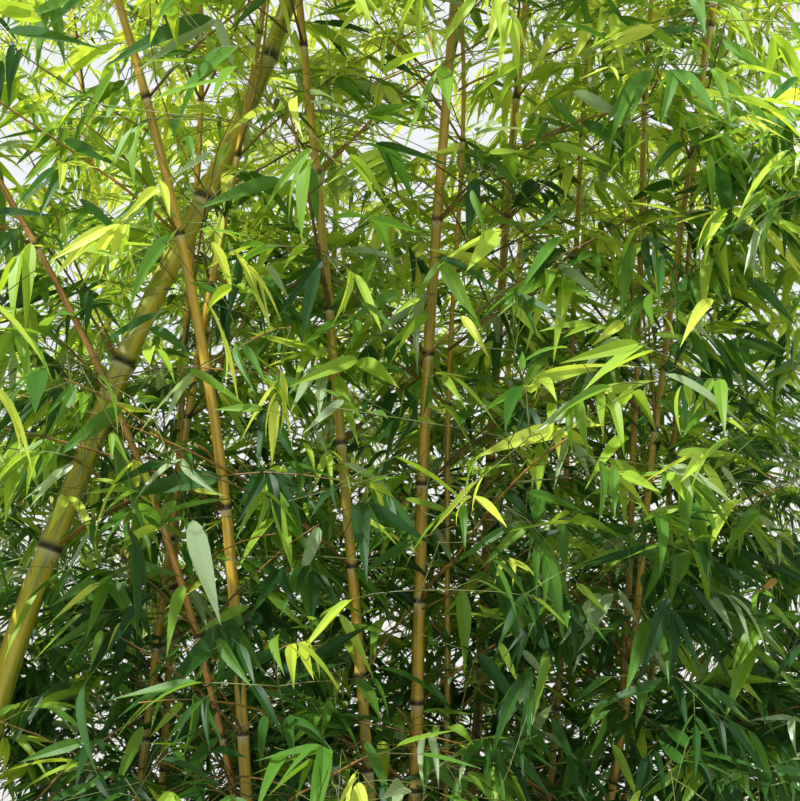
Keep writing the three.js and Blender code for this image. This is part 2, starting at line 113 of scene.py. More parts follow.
# Each culm: its foot, its place at each level above, its tip, its thickness at the foot, its first node's
# height and whether its solid has a corner at every node
CULMS = {
    "culm_big": ((-316, -96), (-414, -152), (-248, -48), (-2, 95), (180, 330, 3040), 37, 520, True),
    "culm_arching": ((-24, -88), (-48, -118), (-222, -140), (-560, -165), (-690, -175, 2290), 12, 500, False),
    "culm_left_outer": ((-290, 10), (-212, -8), (-132, -15), (-24, 5), (60, -60, 2900), 14, 540, False),
    "culm_left_inner": ((-236, 88), (-184, 42), (-154, 45), (-132, 100), (-230, 290, 2780), 13, 515, False),
    "culm_left_main": (
        (-10, -176), (-30, -165), (-84, -145), (-230, -118), (-480, -130, 2860), 17, 505, False,
    ),
    "culm_front": ((180, -138), (140, -105), (90, -85), (31, -62), (-50, -200, 2950), 16, 530, False),
    "culm_centre": ((166, -72), (200, -62), (218, -52), (261, -38), (340, -40, 3120), 18.5, 513, True),
    "culm_centre_slim": ((216, -14), (247, -22), (252, -20), (270, 0), (150, 180, 2800), 10, 545, False),
    "culm_middle_back": ((216, 118), (296, 138), (330, 142), (378, 150), (480, 230, 3000), 16, 520, False),
    "culm_right_inner": ((292, 52), (410, 60), (442, 72), (478, 100), (560, 280, 2640), 11, 500, False),
    "culm_right_front": ((304, -104), (482, -70), (555, -75), (636, -110), (740, -170, 2560), 12, 535, False),
    "culm_right_middle": ((334, -30), (496, 12), (535, 10), (560, 20), (640, 40, 2860), 12, 510, False),
    "culm_right_outer": ((306, 134), (548, 140), (622, 140), (674, 160), (760, 230, 2500), 11, 525, False),
    "culm_back_left": ((-172, 232), (-262, 350), (-330, 430), (-410, 510), (-520, 620, 2560), 15, 515, False),
    "culm_back_middle": ((44, 296), (40, 420), (50, 480), (70, 545), (90, 680, 2860), 15, 540, False),
    "culm_back_right": ((196, 242), (310, 380), (370, 450), (440, 520), (540, 640, 2680), 14, 505, False),
}

# The thickest culm has the longest internodes, so that its nodes stand farther apart than its solid's corners
LONG_INTERNODES = {"culm_big": (1125, 1388, 1655, 1905, 2132)}
BESIDE_LONG = 150

# Culms that are drawn thicker than their solids, as the photograph shows them
SHOWN_THICKER = {
    "culm_big": 1.14,
    "culm_centre": 1.17,
    "culm_front": 1.15,
    "culm_left_main": 1.12,
    "culm_middle_back": 1.15,
}

# Masses of foliage, as in the solids: height, ring, count, first azimuth, reach sideways and reach up
TIERS = {
    "foot": (860, 500, 5, 12, 285, 215),
    "low": (1215, 610, 5, -22, 315, 240),
    "waist": (1590, 640, 5, 12, 320, 245),
    "chest": (1970, 620, 5, -22, 320, 245),
    "shoulder": (2330, 500, 5, 12, 290, 235),
    "crown": (2670, 360, 4, -30, 265, 220),
    "top": (2940, 170, 1, -10, 260, 220),
}
CLUMP_MIDDLE = (90, 80)
STAGGER = 60
FRONT_SET_BACK = 0.34

# Boughs and stems of the masses, as in the solids. Their thickness here is the real one.
BOUGH_RISE = 0.75
BOUGH_LEAST = 205
BOUGH_SHARE = 0.42
SOLID_BOUGH = (15, 12)
BOUGH_THICKNESS = (7.5, 5.5)
BOUGH_ARCH = 0.1
BOUGH_CLEAR = 5
BOUGH_STRETCHES = 3
CULMS_TRIED = 7
START_BELOW = 0.35
AIM_BELOW = 0.25
SOLID_STEM = (12, 9)
STEM_THICKNESS = (5, 2.6)
STEM_REACH = 0.5
STEM_LIFT = 0.1
STEM_LEAST_SWING = 0.35
STEM_SWING = 0.45
STEM_NODES = 6
END_TWIG = 0.99
TWIG_TRIES = 3
TWIG_THICKNESS = 4
TWIG_ANGLE = 58
TWIG_ANGLE_SPREAD = (0.8, 0.4)
TWIG_TURN = 75
TWIG_LEAST = 30
LEAF_PART = 0.8
SOLID_LEAF = (250, 60)
LEAF_WIDEST = 0.34
LEAF_DROOP = 0.62
LEAF_DROOP_LEAST = 0.4
LEAF_SIZES = (0.85, 0.35)
LEAF_SPREAD = 0.62
LEAF_ROLL = 1.2
SHORTEST_LEAF = 0.62
LEAF_INSIDE = 0.99
LEAF_HALF_CLEAR = 0.8
FIRST_SEED = 1000
SPACE_CLEAR = 3
LIMB_CLEAR = 4
SHORT_STEP = 0.01


def blend(a, b, share):
    return a + (b - a) * share


def seeded(seed):
    """The same numbers in the same order as in the solids."""
    state = seed & 0xFFFFFFFF

    def draw():
        nonlocal state
        state = (state + 0x6D2B79F5) & 0xFFFFFFFF
        mixed = ((state ^ (state >> 15)) * (state | 1)) & 0xFFFFFFFF
        mixed ^= (mixed + (mixed ^ (mixed >> 7)) * (mixed | 61)) & 0xFFFFFFFF
        return (mixed ^ (mixed >> 14)) / 0x100000000

    return draw


def smooth_path(points):
    """A smooth path through points, for shares from 0 to 1."""
    points = [Vector(point) for point in points]
    through = [points[0] * 2 - points[1], *points, points[-1] * 2 - points[-2]]

    def at(t):
        place = t * (len(points) - 1)
        k = min(int(place), len(points) - 2)
        s = place - k
        before, a, b, after = through[k : k + 4]
        leaving = (b - before) / 2
        arriving = (after - a) / 2
        return (
            a * (2 * s**3 - 3 * s**2 + 1)
            + leaving * (s**3 - 2 * s**2 + s)
            + b * (3 * s**2 - 2 * s**3)
            + arriving * (s**3 - s**2)
        )

    return at


def arched_path(a, middle, b):
    return lambda t: a * (1 - t) ** 2 + middle * (2 * t * (1 - t)) + b * t**2


def way_at(path, t):
    return (path(min(t + SHORT_STEP, 1)) - path(max(t - SHORT_STEP, 0))).normalized()


class Culm:
    def __init__(self, name, foot, low, middle, high, tip, thickness, first_node, ringed):
        self.name = name
        self.thickness = thickness
        self.tip = Vector(tip)
        places = [Vector((*flat, height)) for flat, height in zip((foot, low, middle, high), LEVELS)]
        kept = [place for place in places if place.z < tip[2] - NEAR_TIP]
        beyond = self.tip + (self.tip - kept[-1]) * PAST_TIP
        beyond.z = tip[2] - TIP_NOD
        curve = smooth_path([*kept, self.tip, beyond])
        share = len(kept) / (len(kept) + 1)
        self.path = lambda t: curve(t * share)
        self.nodes = []
        height = first_node
        while height < tip[2] - LAST_NODE_BELOW_TIP:
            self.nodes.append(self.share_at(height))
            rise = ((height - SOIL_TOP) / CLUMP_HEIGHT) ** INTERNODE_SKEW
            height += INTERNODE * blend(SHORTEST_INTERNODE, 1, math.sin(math.pi * rise) ** 2)
        self.solid_nodes = self.nodes if ringed else self.nodes[1::2]
        if name in LONG_INTERNODES:
            heights = LONG_INTERNODES[name]
            bottom, top = heights[0] - BESIDE_LONG, heights[-1] + BESIDE_LONG
            far = [node for node in self.nodes if not bottom < self.path(node).z < top]
            self.nodes = sorted(far + [self.share_at(height) for height in heights])

    def share_at(self, height):
        """The share of the path at a height, by halving."""
        low, high = 0.0, 1.0
        for _ in range(HALVINGS):
            middle = (low + high) / 2
            if self.path(middle).z < height:
                low = middle
            else:
                high = middle
        return low

    def radius(self, t):
        return self.thickness / 2 * blend(TIP_THICKNESS, 1, (1 - t) ** TAPER)


class Limbs:
    """Every limb made so far, as short straight stretches that twigs keep clear of."""

    def __init__(self):
        self.rows = []
        self.owners = []
        self.table = None
        self.names = None

    def note(self, owner, path, radius_at, stretches):
        for k in range(stretches):
            start, end = path(k / stretches), path((k + 1) / stretches)
            self.rows.append((*start, *end, radius_at(k / stretches) * RING_SWELL))
            self.owners.append(owner)
        self.table = None

    def clear(self, a, b, half_width, clear, besides):
        """Whether a straight piece from a to b stays clear of every limb but those of the named owners."""
        if self.table is None:
            self.table = np.array(self.rows)
            self.names = np.array(self.owners)
        rows = self.table[~np.isin(self.names, besides)]
        c, d, radius = rows[:, :3], rows[:, 3:6], rows[:, 6]
        u = np.array(b) - np.array(a)
        v = d - c
        w = np.array(a) - c
        uu, uv, vv = u @ u, v @ u, (v * v).sum(1)
        uw, vw = w @ u, (w * v).sum(1)
        spread = uu * vv - uv * uv
        s = np.where(spread > TINY, np.clip((uv * vw - vv * uw) / np.maximum(spread, TINY), 0, 1), 0)
        t = np.clip((uv * s + vw) / vv, 0, 1)
        s = np.clip((uv * t - uw) / uu, 0, 1)
        apart = np.linalg.norm(w + u * s[:, None] - v * t[:, None], axis=1)
        return bool((apart - radius - half_width > clear).all())


class Mass:
    """The space of one mass of foliage: its middle and how far it reaches sideways and up."""

    def __init__(self, name, centre, across, up):
        self.name = name
        self.centre = centre
        self.across = across
        self.up = up

    def scaled(self, v):
        return Vector((v.x / self.across, v.y / self.across, v.z / self.up))

    def depth(self, point):
        return self.scaled(point - self.centre).length

    def way_out(self, point, direction):
        """How far a place inside lies from the border of the space, in a direction."""
        start = self.scaled(point - self.centre)
        along = self.scaled(direction)
        a, b, c = along.dot(along), start.dot(along), start.dot(start) - 1
        return (-b + math.sqrt(b * b - a * c)) / a if c < 0 else 0


def mass_places():
    masses = []
    for tier, (height, ring, count, first, across, up) in TIERS.items():
        for k in range(count):
            angle = (first + 360 * k / count) * DEGREE
            reach = ring * (1 - FRONT_SET_BACK * max(0, -math.sin(angle)))
            x = CLUMP_MIDDLE[0] + reach * math.cos(angle)
            y = CLUMP_MIDDLE[1] + reach * math.sin(angle)
            z = height + (STAGGER if k % 2 else -STAGGER)
            masses.append(Mass(f"foliage_{tier}_{k + 1}", Vector((x, y, z)), across, up))
    return masses


def choose_start(mass):
    """The culm that carries a mass, and the place of the node where its bough or stem starts."""
    level = mass.centre.z - mass.up * AIM_BELOW
    tries = []
    for culm in culms:
        near = culm.path(culm.share_at(min(level, culm.tip.z - LAST_NODE_BELOW_TIP)))
        sideways = math.hypot(near.x - mass.centre.x, near.y - mass.centre.y)
        tries.append((sideways + abs(near.z - level), culm))
    tries.sort(key=lambda row: row[0])
    for off, culm in tries[:CULMS_TRIED]:
        away = max(0, off - mass.across / 2)
        wanted = mass.centre.z - mass.up * START_BELOW - away * BOUGH_RISE
        share = min(culm.solid_nodes, key=lambda node: abs(culm.path(node).z - wanted))
        start = culm.path(share)
        target = mass.centre - UP * mass.up * AIM_BELOW
        if limbs.clear(start, target, SOLID_BOUGH[0] / 2, BOUGH_CLEAR, [culm.name]):
            return culm, start, target
    raise ValueError(mass.name + " finds no culm")


def place_bough(mass):
    mass.culm, mass.start, target = choose_start(mass)
    mass.bough = None
    if (target - mass.start).length <= BOUGH_LEAST:
        return
    end = mass.start.lerp(target, BOUGH_SHARE)
    middle = (mass.start + end) / 2 + UP * BOUGH_ARCH * (end - mass.start).length
    mass.bough = arched_path(mass.start, middle, end)
    bough = mass.name.replace("foliage", "bough")
    limbs.note(bough, mass.bough, lambda t: blend(*SOLID_BOUGH, t) / 2, BOUGH_STRETCHES)
    mass.start = end + way_at(mass.bough, 1) * GAP


def place_stem(mass):
    outward = (mass.centre - mass.start) * Vector((1, 1, 0))
    if outward.length < mass.across * STEM_LEAST_SWING:
        outward = Vector((mass.centre.x - CLUMP_MIDDLE[0], mass.centre.y - CLUMP_MIDDLE[1], 0))
    outward.normalize()
    end = mass.centre + outward * mass.across * STEM_REACH + UP * mass.up * STEM_LIFT
    length = (end - mass.start).length
    middle = (mass.start + end) / 2
    if mass.bough:
        middle.z += length * BOUGH_ARCH
    else:
        height = middle.z
        middle = mass.start + outward * length * STEM_SWING
        middle.z = height
    mass.path = arched_path(mass.start, middle, end)
    limbs.note(mass.name, mass.path, lambda t: blend(*SOLID_STEM, t) / 2, STEM_NODES + 1)


def solid_leaf(mass, root, along, draw):
    """Root, way and length of the solids' leaf: here it is the line that a spray of twigs follows."""
    level = Vector((-along.y, along.x, 0)).normalized()
    droop = LEAF_DROOP * (LEAF_DROOP_LEAST + draw())
    spread = LEAF_SPREAD * (draw() - 0.5)
    wanted = SOLID_LEAF[0] * (LEAF_SIZES[0] + LEAF_SIZES[1] * draw())
    roll = (draw() - 0.5) * LEAF_ROLL
    way = (along - UP * droop + level * spread).normalized()
    across = Matrix.Rotation(roll, 3, way) @ UP.cross(way).normalized()
    length = min(wanted, mass.way_out(root, way) * LEAF_INSIDE)
    return way, across, length


def main_twigs(mass, index):
    """The twigs of a mass by the solids' rule: each is a path from the stem, ending in its leaf's line."""
    draw = seeded(FIRST_SEED + index)
    others = [other.centre for other in masses if other is not mass]
    borders = [((mass.centre + other) / 2, (other - mass.centre).normalized()) for other in others]
    twigs = []

    def keeps(point):
        if mass.depth(point) >= 1:
            return False
        return all((point - middle).dot(apart) < -SPACE_CLEAR for middle, apart in borders)

    def grow(t, way):
        start = mass.path(t)
        length = max(TWIG_LEAST, mass.way_out(start, way) - SOLID_LEAF[0] * LEAF_PART)
        tip = start + way * length
        leaf_way, across, leaf_length = solid_leaf(mass, tip, way, draw)
        half = SOLID_LEAF[1] / 2 * leaf_length / SOLID_LEAF[0]
        end = tip + leaf_way * leaf_length
        widest = tip + leaf_way * leaf_length * LEAF_WIDEST
        corners = (tip, end, widest - across * half, widest + across * half)
        fits = (
            leaf_length > SOLID_LEAF[0] * SHORTEST_LEAF
            and all(map(keeps, corners))
            and limbs.clear(tip, end, half * LEAF_HALF_CLEAR, LIMB_CLEAR, [mass.name])
            and limbs.clear(start + way * TWIG_THICKNESS, tip, TWIG_THICKNESS / 2, LIMB_CLEAR, [mass.name])
        )
        if fits:
            twigs.append([start, start.lerp(tip, 0.5), tip, tip.lerp(end, 0.5), end])
        return fits

    for k in range(STEM_NODES):
        t = (k + 1) / (STEM_NODES + 1)
        along = way_at(mass.path, t)
        aside = along.cross(UP).normalized()
        for side in (-1, 1):
            for _ in range(TWIG_TRIES):
                turn = (draw() * 2 - 1) * TWIG_TURN * DEGREE
                angle = TWIG_ANGLE * (TWIG_ANGLE_SPREAD[0] + TWIG_ANGLE_SPREAD[1] * draw()) * DEGREE
                sideways = Matrix.Rotation(turn, 3, along) @ (aside * side)
                if grow(t, along * math.cos(angle) + sideways * math.sin(angle)):
                    break
    grow(END_TWIG, way_at(mass.path, 1))
    return twigs


culms = [Culm(name, *row) for name, row in CULMS.items()]
limbs = Limbs()
for culm in culms:
    limbs.note(culm.name, culm.path, culm.radius, CULM_STRETCHES)
masses = mass_places()
for mass in masses:
    place_bough(mass)
for mass in masses:
    place_stem(mass)

# The crown's reach: the spaces of the masses, and the inside of the clump between them
RING_SHARE = 0.98
TOP_SHARES = (0.86, 0.92, 0.98)
TOP_REACH = 115
FRONT_SQUEEZE = 1.3
RIGHT_SPREAD = ((200, 500), (1, 1.16))
INSIDE_BOTTOM = 620
INSIDE_TOP = 2900
CROWN_LEFT = -795
CROWN_RIGHT = 1030
CROWN_BACK = 1010
CENTRES = np.array([mass.centre for mass in masses])
REACHES = np.array([(mass.across, mass.across, mass.up) for mass in masses])
TIER_HEIGHTS = [row[0] for row in TIERS.values()]
TIER_RINGS = [row[1] * RING_SHARE for row in TIERS.values()]
CULM_TOPS = np.array([culm.path(t) for culm in culms for t in TOP_SHARES])


def in_reach(point):
    if not (CROWN_LEFT < point.x < CROWN_RIGHT and point.y < CROWN_BACK):
        return False
    place = np.array(point)
    if (((place - CENTRES) / REACHES) ** 2).sum(1).min() < 1:
        return True
    if ((place - CULM_TOPS) ** 2).sum(1).min() < TOP_REACH**2:
        return True
    squeeze = FRONT_SQUEEZE if point.y < 0 else 1
    off = math.hypot(point.x - CLUMP_MIDDLE[0], (point.y - CLUMP_MIDDLE[1]) * squeeze)
    ring = np.interp(point.z, TIER_HEIGHTS, TIER_RINGS) * np.interp(point.x, *RIGHT_SPREAD)
    return INSIDE_BOTTOM < point.z < INSIDE_TOP and off < ring


# Fine growth: real sizes in millimetres, and how far they spread
LEAF_LINE = 800
LEAF_LINE_SPREAD = (-60, 160)
BRANCH_LENGTH = 520
BRANCH_LENGTHS = (0.8, 1.15)
BRANCH_THICKNESS = 4.4
BRANCH_TIP_THICKNESS = 1.6
BRANCH_STEP = 52
BRANCH_SAG = 0.07
BRANCH_SWAY = 0.045
SHOOT_LENGTH = 150
SHOOT_LENGTHS = (0.6, 1.2)
SHOOT_LONGER = (0.45, 0.9)
SHOOT_THICKNESS = 1.6
SHOOT_STEP = 31
SHOOT_SAG = 0.05
SHOOT_SWAY = 0.09
END_SHOOT = 0.6
SPRIG_LENGTH = 48
SPRIG_LENGTHS = (0.5, 1.35)
SPRIG_THICKNESS = 1.0
SPRIG_TAPER = 0.7
STEP_SPREAD = (0.85, 1.15)
LEVEL_SWAY = 0.6
LEVEL_LEAST = 1e-3

# Sprays of leaves: their counts, lengths by depth in the clump, hang and swing
SPRIG_LEAVES = (2, 3, 3, 4, 4, 5)
SHOOT_LEAVES = (3, 4, 4, 5, 5)
TWIG_LEAVES = 4
MORE_BEHIND = ((50, 250), (0, 2))
LEAF_LENGTH = 108
LEAF_LENGTHS = (0.72, 1.1)
SHORTER_BEHIND = ((-200, 0, 220, 450), (1, 0.79, 0.58, 0.52))
SPRAY_SIZES = (0.72, 1.16)
FIRST_LEAF = 0.85
LEAF_STEP = (5, 11)
LEAF_SLENDERNESS = 6.0
SLENDERNESS_SPREAD = (0.8, 1.25)
SPRAY_HANG = (0.1, 0.95)
LEAF_HANG = (-0.15, 0.2)
END_SWING = (-0.15, 0.15)
SIDE_SWING = (0.45, 1.05)
LEAF_TILT = 0.5
SHORTENED = (1, 0.72)
STRAW_SHARE = 0.004

# Twigs at the sides of a limb: how far each rolls round it, and its angle from it in degrees
SPRIG_SPREAD = (0.7, (35, 62))
SHOOT_SPREAD = (0.8, (38, 60))
MAIN_TWIG_SPREAD = (0.9, (35, 60))

# Branches at a node of a culm: two forks of unlike size, their angles in degrees and the room that they need
NODE_TURN = 22
FORKS = ((-1, 1.0), (1, 0.68))
FORK_TRIES = 3
FORK_TURN = (16, 34)
FORK_ANGLE = (36, 54)
FORK_ROOM = 220
FORK_CLEAR = 3
FORK_DEPTH = 0.6
FORK_THICKNESS = (0.75, 0.3)
FORK_THICKEST = 1.1
BRANCH_SWELL = (0.24, 0.64, 0.8)

# Limbs of a mass: the steps of its bough and stem, where its shoots start, and how many twigs carry shoots
BOUGH_STEPS = 6
STEM_STEPS = 9
STEM_BARE = 3
TWIG_BARE = 2
MAIN_TWIG_SWELL = 1.3
TWIG_SHOOTS = 0.45
TWIG_SHOOT_LENGTHS = (0.3, 0.65)

# Seeds of the masses, the crown's filling, the growth in front, the culms' branches and the frame's filling
MASS_SEED = 3000
FILL_SEED = 5000
OUTER_SEED = 6000
CULM_SEED = 7000
SIGHT_SEED = 8000

# Leaves' tones from shade to sun, then the odd ones: plain base colours that are dealt out by spray. Each has
# the blade's colour and the colour of the light that comes through it.
TONES = {
    "leaves_deep": ("#1f431a", "#4f8020"),
    "leaves_shade": ("#305b22", "#6e9c28"),
    "leaves_mid": ("#4a7829", "#90b62c"),
    "leaves_green": ("#68912f", "#b2cf32"),
    "leaves_fresh": ("#88aa37", "#cce23a"),
    "leaves_bright": ("#a4c044", "#deec4a"),
    "leaves_yellow": ("#bccb4e", "#e8f05a"),
    # The pale tone is painted sheen: a whitish blade colour that stands in for glints of the sky on glossy
    # leaves.
    "leaves_pale": ("#97ad7f", "#b4cc74"),
    "leaves_straw": ("#a5823c", "#c09a48"),
}
SUN_TONES = [tone for tone in TONES if tone not in ("leaves_pale", "leaves_straw")]

# How sunny a spray is: by height, towards the right, at the foot and towards the back, and its own spread
# The share of sprays in the pale tone of painted sheen, fewer in front.
PALE_SHARE = ((-150, 150), (0.045, 0.1))
SUN_BY_HEIGHT = ((900, 2150, 2400, 3000), (0, 0.7, 0.64, 0.5))
SUN_BY_SIDE = ((-700, 0, 350, 800), (-0.06, 0, -0.04, -0.16))
FOOT_HEIGHTS = ((1000, 1450), (1, 0))
FOOT_SHADE = ((-450, 50), (-0.2, 0))
UPPER_HEIGHTS = ((1500, 2000), (0, 1))
SUN_BY_DEPTH = ((-200, 100), (-0.13, 0.02))
SUN_SPREAD = (0.11, 0.26)

# Outlines of a leaf: places along it and the share of its width there, plainest for the many leaves at the
# back, finer for those inside the crown and finest in front. Each outline comes in several bends and twists.
LEAF_OUTLINES = (
    ((0, 0), (0.22, 0.95), (0.62, 0.66), (1, 0)),
    ((0, 0), (0.09, 0.68), (0.28, 1), (0.66, 0.56), (1, 0)),
    (
        (0, 0), (0.03, 0.38), (0.09, 0.74), (0.2, 0.98), (0.32, 1), (0.5, 0.81), (0.7, 0.49), (0.88, 0.17),
        (1, 0),
    ),
)
LEAF_BENDS = ((0.06, 0.2), (0.14, -0.35), (0.22, 0.5), (0.32, -0.2), (0.02, 0.6), (0.42, 0.15))
FRONT = -120
BACK = 130
LEAF_FOLD = 0.07
TWIST_WIDTH = 0.14


def outline_at(depth):
    """Which outline the leaves at a depth of the clump have."""
    return 2 if depth < FRONT else 1 if depth < BACK else 0


class Growth:
    """The rows that the joined meshes are made of, and how full each cube and each cell of the frame is."""

    def __init__(self):
        self.limbs = {"branches": [], "shoots": [], "sprigs": []}
        self.leaves = {tone: [] for tone in TONES}
        self.cubes = collections.Counter()
        self.cover = collections.Counter()


growth = Growth()

# Filling: each cube of the crown that has too few leaves gets a shoot from the nearest limb
CUBE = 88
CUBE_LEAVES = ((1300, 1900), (6, 4))
CUBE_PLACES = (0.2, 0.8)
FARTHEST_LIMB = 300
SHORT_RISE = 0.4


def cube_of(point):
    return tuple(int(part // CUBE) for part in point)


# Sky: where the photograph shows it through the clump, as pixels across and down and the patch's reach in
# pixels. Elsewhere in its frame, a cell that is covered too thinly by leaves gets more of them behind.
SKY_PATCHES = (
    (95, 30, 85), (110, 80, 45), (15, 160, 58), (235, 15, 60), (330, 5, 70), (425, 85, 85), (425, 150, 60),
    (480, 25, 70),
)
SKY_OPENS = 0.75
SKY_FADE = 1.8
LEAF_COVER = 0.3
SIGHT_CELL = 25
SIGHT_COVER = (1.5, 2.3)
SIGHT_COVER_ROWS = (8, 22)
SIGHT_TRIES = 8
SIGHT_DEPTH = (-40, 430)

# Sight lines: the culms that show from the open face, with the share of leaves in front of each that stays
SHOWING = {
    "culm_big": 0.1,
    "culm_arching": 0.18,
    "culm_left_main": 0.1,
    "culm_left_outer": 0.3,
    "culm_left_inner": 0.3,
    "culm_front": 0.12,
    "culm_centre": 0.1,
    "culm_centre_slim": 0.2,
    "culm_middle_back": 0.22,
    "culm_right_inner": 0.3,
    "culm_right_front": 0.25,
    "culm_right_middle": 0.3,
}
SHOWN_HEIGHTS = (950, 2300)
SHOWN_STEPS = 90
SHOWN_BESIDE = 4
SHOWN_TO = 0.97
SHOWN_AWAY = 2100
SHOWN_OVERLAP = 1.3
CLEAR_IN_FRONT = 12
LEAF_PLACES = (0.15, 0.4, 0.65, 0.9)
THINNED_TO = 160

# The clump's open face, where there are fewer sprays in front of the culms, the fewer the nearer
OPEN_FRONT = -120
OPEN_SIDES = (-420, 480)
OPEN_HEIGHTS = (820, 2350)
OPEN_SHARES = (0.32, 0.08)
OPEN_DEPTH = 160
SHARE_BY_HEIGHT = ((1500, 2150, 2500, 3000), (1, 0.68, 0.58, 0.62))


def sight(point):
    """A place as the camera sees it: sideways and up as shares of its distance, and the distance."""
    away = point[1] - CAMERA_PLACE[1]
    return (point[0] - CAMERA_PLACE[0]) / away, (point[2] - CAMERA_PLACE[2]) / away, away


def showing_rows():
    """Places along the culms that show, each with its half width in sight and the share that stays."""
    rows = []
    for culm in culms:
        if culm.name in SHOWING:
            for k in range(SHOWN_STEPS):
                t = culm.share_at(blend(*SHOWN_HEIGHTS, k / SHOWN_STEPS))
                if t > SHOWN_TO:
                    break
                u, v, away = sight(culm.path(t))
                rows.append((u, v, away, (culm.radius(t) + SHOWN_BESIDE) / away, SHOWING[culm.name]))
    return np.array(rows)


SHOWN = showing_rows()
HALF_STEP = (SHOWN_HEIGHTS[1] - SHOWN_HEIGHTS[0]) / SHOWN_STEPS / 2 / SHOWN_AWAY


def share_in_sight(a, b):
    """The share of leaves that stays between two places: less where it would hide a culm behind it."""
    share = 1.0
    for place in LEAF_PLACES:
        u, v, away = sight(a.lerp(b, place))
        beside = abs(SHOWN[:, 0] - u) < SHOWN[:, 3]
        level = abs(SHOWN[:, 1] - v) < HALF_STEP * SHOWN_OVERLAP
        hides = beside & level & (SHOWN[:, 2] > away + CLEAR_IN_FRONT)
        if hides.any():
            share = min(share, SHOWN[hides, 4].min())
    return share


def sight_area(point):
    """The area that a cell of the photograph spans at a place's depth."""
    return (SIGHT_CELL * sight(point)[2] / CAMERA_FOCUS) ** 2


def photo_pixel(point):
    """The pixel of the photograph that shows a place."""
    u, v, _ = sight(point)
    return PHOTO_MIDDLE[0] + u * CAMERA_FOCUS, PHOTO_MIDDLE[1] - v * CAMERA_FOCUS


def seen_at(across, down, depth):
    """The place at a depth of the clump that a pixel of the photograph shows."""
    scale = (depth - CAMERA_PLACE[1]) / CAMERA_FOCUS
    x = CAMERA_PLACE[0] + (across - PHOTO_MIDDLE[0]) * scale
    z = CAMERA_PLACE[2] - (down - PHOTO_MIDDLE[1]) * scale
    return Vector((x, depth, z))


def cell_of(point):
    return tuple(int(part // SIGHT_CELL) for part in photo_pixel(point))


def sky_at(point):
    """How far a place stands in front of open sky: from 0 to 1 in the middle of a patch."""
    across, down = photo_pixel(point)
    return max(max(0, 1 - math.hypot(across - x, down - y) / reach) for x, y, reach in SKY_PATCHES)


def openness(point):
    """How many of the sprays stay at a place: fewer where culms and sky show."""
    share = 1 - SKY_OPENS * min(1, SKY_FADE * sky_at(point))
    in_front = point.y < OPEN_FRONT and OPEN_SIDES[0] < point.x < OPEN_SIDES[1]
    if in_front and OPEN_HEIGHTS[0] < point.z < OPEN_HEIGHTS[1]:
        share *= blend(*OPEN_SHARES, min(1, (OPEN_FRONT - point.y) / OPEN_DEPTH))
    return share * np.interp(point.z, *SHARE_BY_HEIGHT)


def pick_tone(point, rng):
    """The tone of a spray: sunnier high up, shadier at the right and at the foot, painted sheen for a few."""
    if rng.random() < np.interp(point.y, *PALE_SHARE):
        return "leaves_pale"
    rise = np.interp(point.z, *SUN_BY_HEIGHT)
    right = np.interp(point.x, *SUN_BY_SIDE)
    foot = np.interp(point.z, *FOOT_HEIGHTS) * np.interp(point.x, *FOOT_SHADE)
    near = np.interp(point.z, *UPPER_HEIGHTS) * np.interp(point.y, *SUN_BY_DEPTH)
    sun = rise + right + foot + near + rng.gauss(*SUN_SPREAD)
    return SUN_TONES[max(0, min(len(SUN_TONES) - 1, int(sun * len(SUN_TONES))))]


def turned(way, axis, angle):
    return Matrix.Rotation(angle, 3, axis) @ way


def level_of(way):
    """The level direction across a way."""
    level = Vector((-way.y, way.x, 0))
    return level.normalized() if level.length > LEVEL_LEAST else Vector((1, 0, 0))


def side_way(points, k, side, roll, angles, rng):
    """The way that a twig takes from one side of a limb, at one of its nodes."""
    along = (points[k + 1] - points[k - 1]).normalized()
    aside = turned(level_of(along), along, rng.uniform(-roll, roll))
    angle = rng.uniform(*angles) * DEGREE
    return along * math.cos(angle) + aside * side * math.sin(angle)


def end_way(points):
    return (points[-1] - points[-2]).normalized()


def along_path(path, steps):
    return [path(k / steps) for k in range(steps + 1)]


def path_length(points):
    return sum((b - a).length for a, b in zip(points, points[1:]))


def add_leaf(root, way, length, slenderness, roll, tone, rng):
    """A leaf, unless it would hide a culm that shows. One that would leave the crown is shorter or none."""
    if root.y < THINNED_TO and rng.random() > share_in_sight(root, root + way * length):
        return
    for size in SHORTENED:
        if in_reach(root + way * length * size):
            middle = root + way * length * size / 2
            growth.cubes[cube_of(middle)] += 1
            area = LEAF_COVER * (length * size) ** 2 / slenderness
            growth.cover[cell_of(middle)] += area / sight_area(middle)
            across = turned(UP.cross(way).normalized(), way, roll)
            face = way.cross(across).normalized()
            shape = rng.randrange(len(LEAF_BENDS)) + len(LEAF_BENDS) * outline_at(root.y)
            width = length * size / slenderness
            growth.leaves[tone].append((*root, *way, *across, *face, length * size, width, shape))
            return


def add_spray(tip, way, rng, count):
    """A fan of leaves at a twig's tip: they stand by turns on its two sides and hang over."""
    tone = pick_tone(tip, rng)
    level = level_of(way)
    size = LEAF_LENGTH * rng.uniform(*SPRAY_SIZES) * np.interp(tip.y, *SHORTER_BEHIND)
    count += round(np.interp(tip.y, *MORE_BEHIND))
    hang = rng.uniform(*SPRAY_HANG)
    for k in range(count):
        last = k == count - 1
        side = 1 if k % 2 else -1
        root = tip - way * (count - 1 - k) * rng.uniform(*LEAF_STEP)
        swing = rng.uniform(*END_SWING) if last else side * rng.uniform(*SIDE_SWING)
        leaf_way = (way + level * swing - UP * (hang + rng.uniform(*LEAF_HANG))).normalized()
        length = size * rng.uniform(*LEAF_LENGTHS) * (FIRST_LEAF if k == 0 else 1)
        own_tone = "leaves_straw" if rng.random() < STRAW_SHARE and tip.y > FRONT else tone
        slenderness = LEAF_SLENDERNESS * rng.uniform(*SLENDERNESS_SPREAD)
        add_leaf(root, leaf_way, length, slenderness, rng.gauss(0, LEAF_TILT), own_tone, rng)


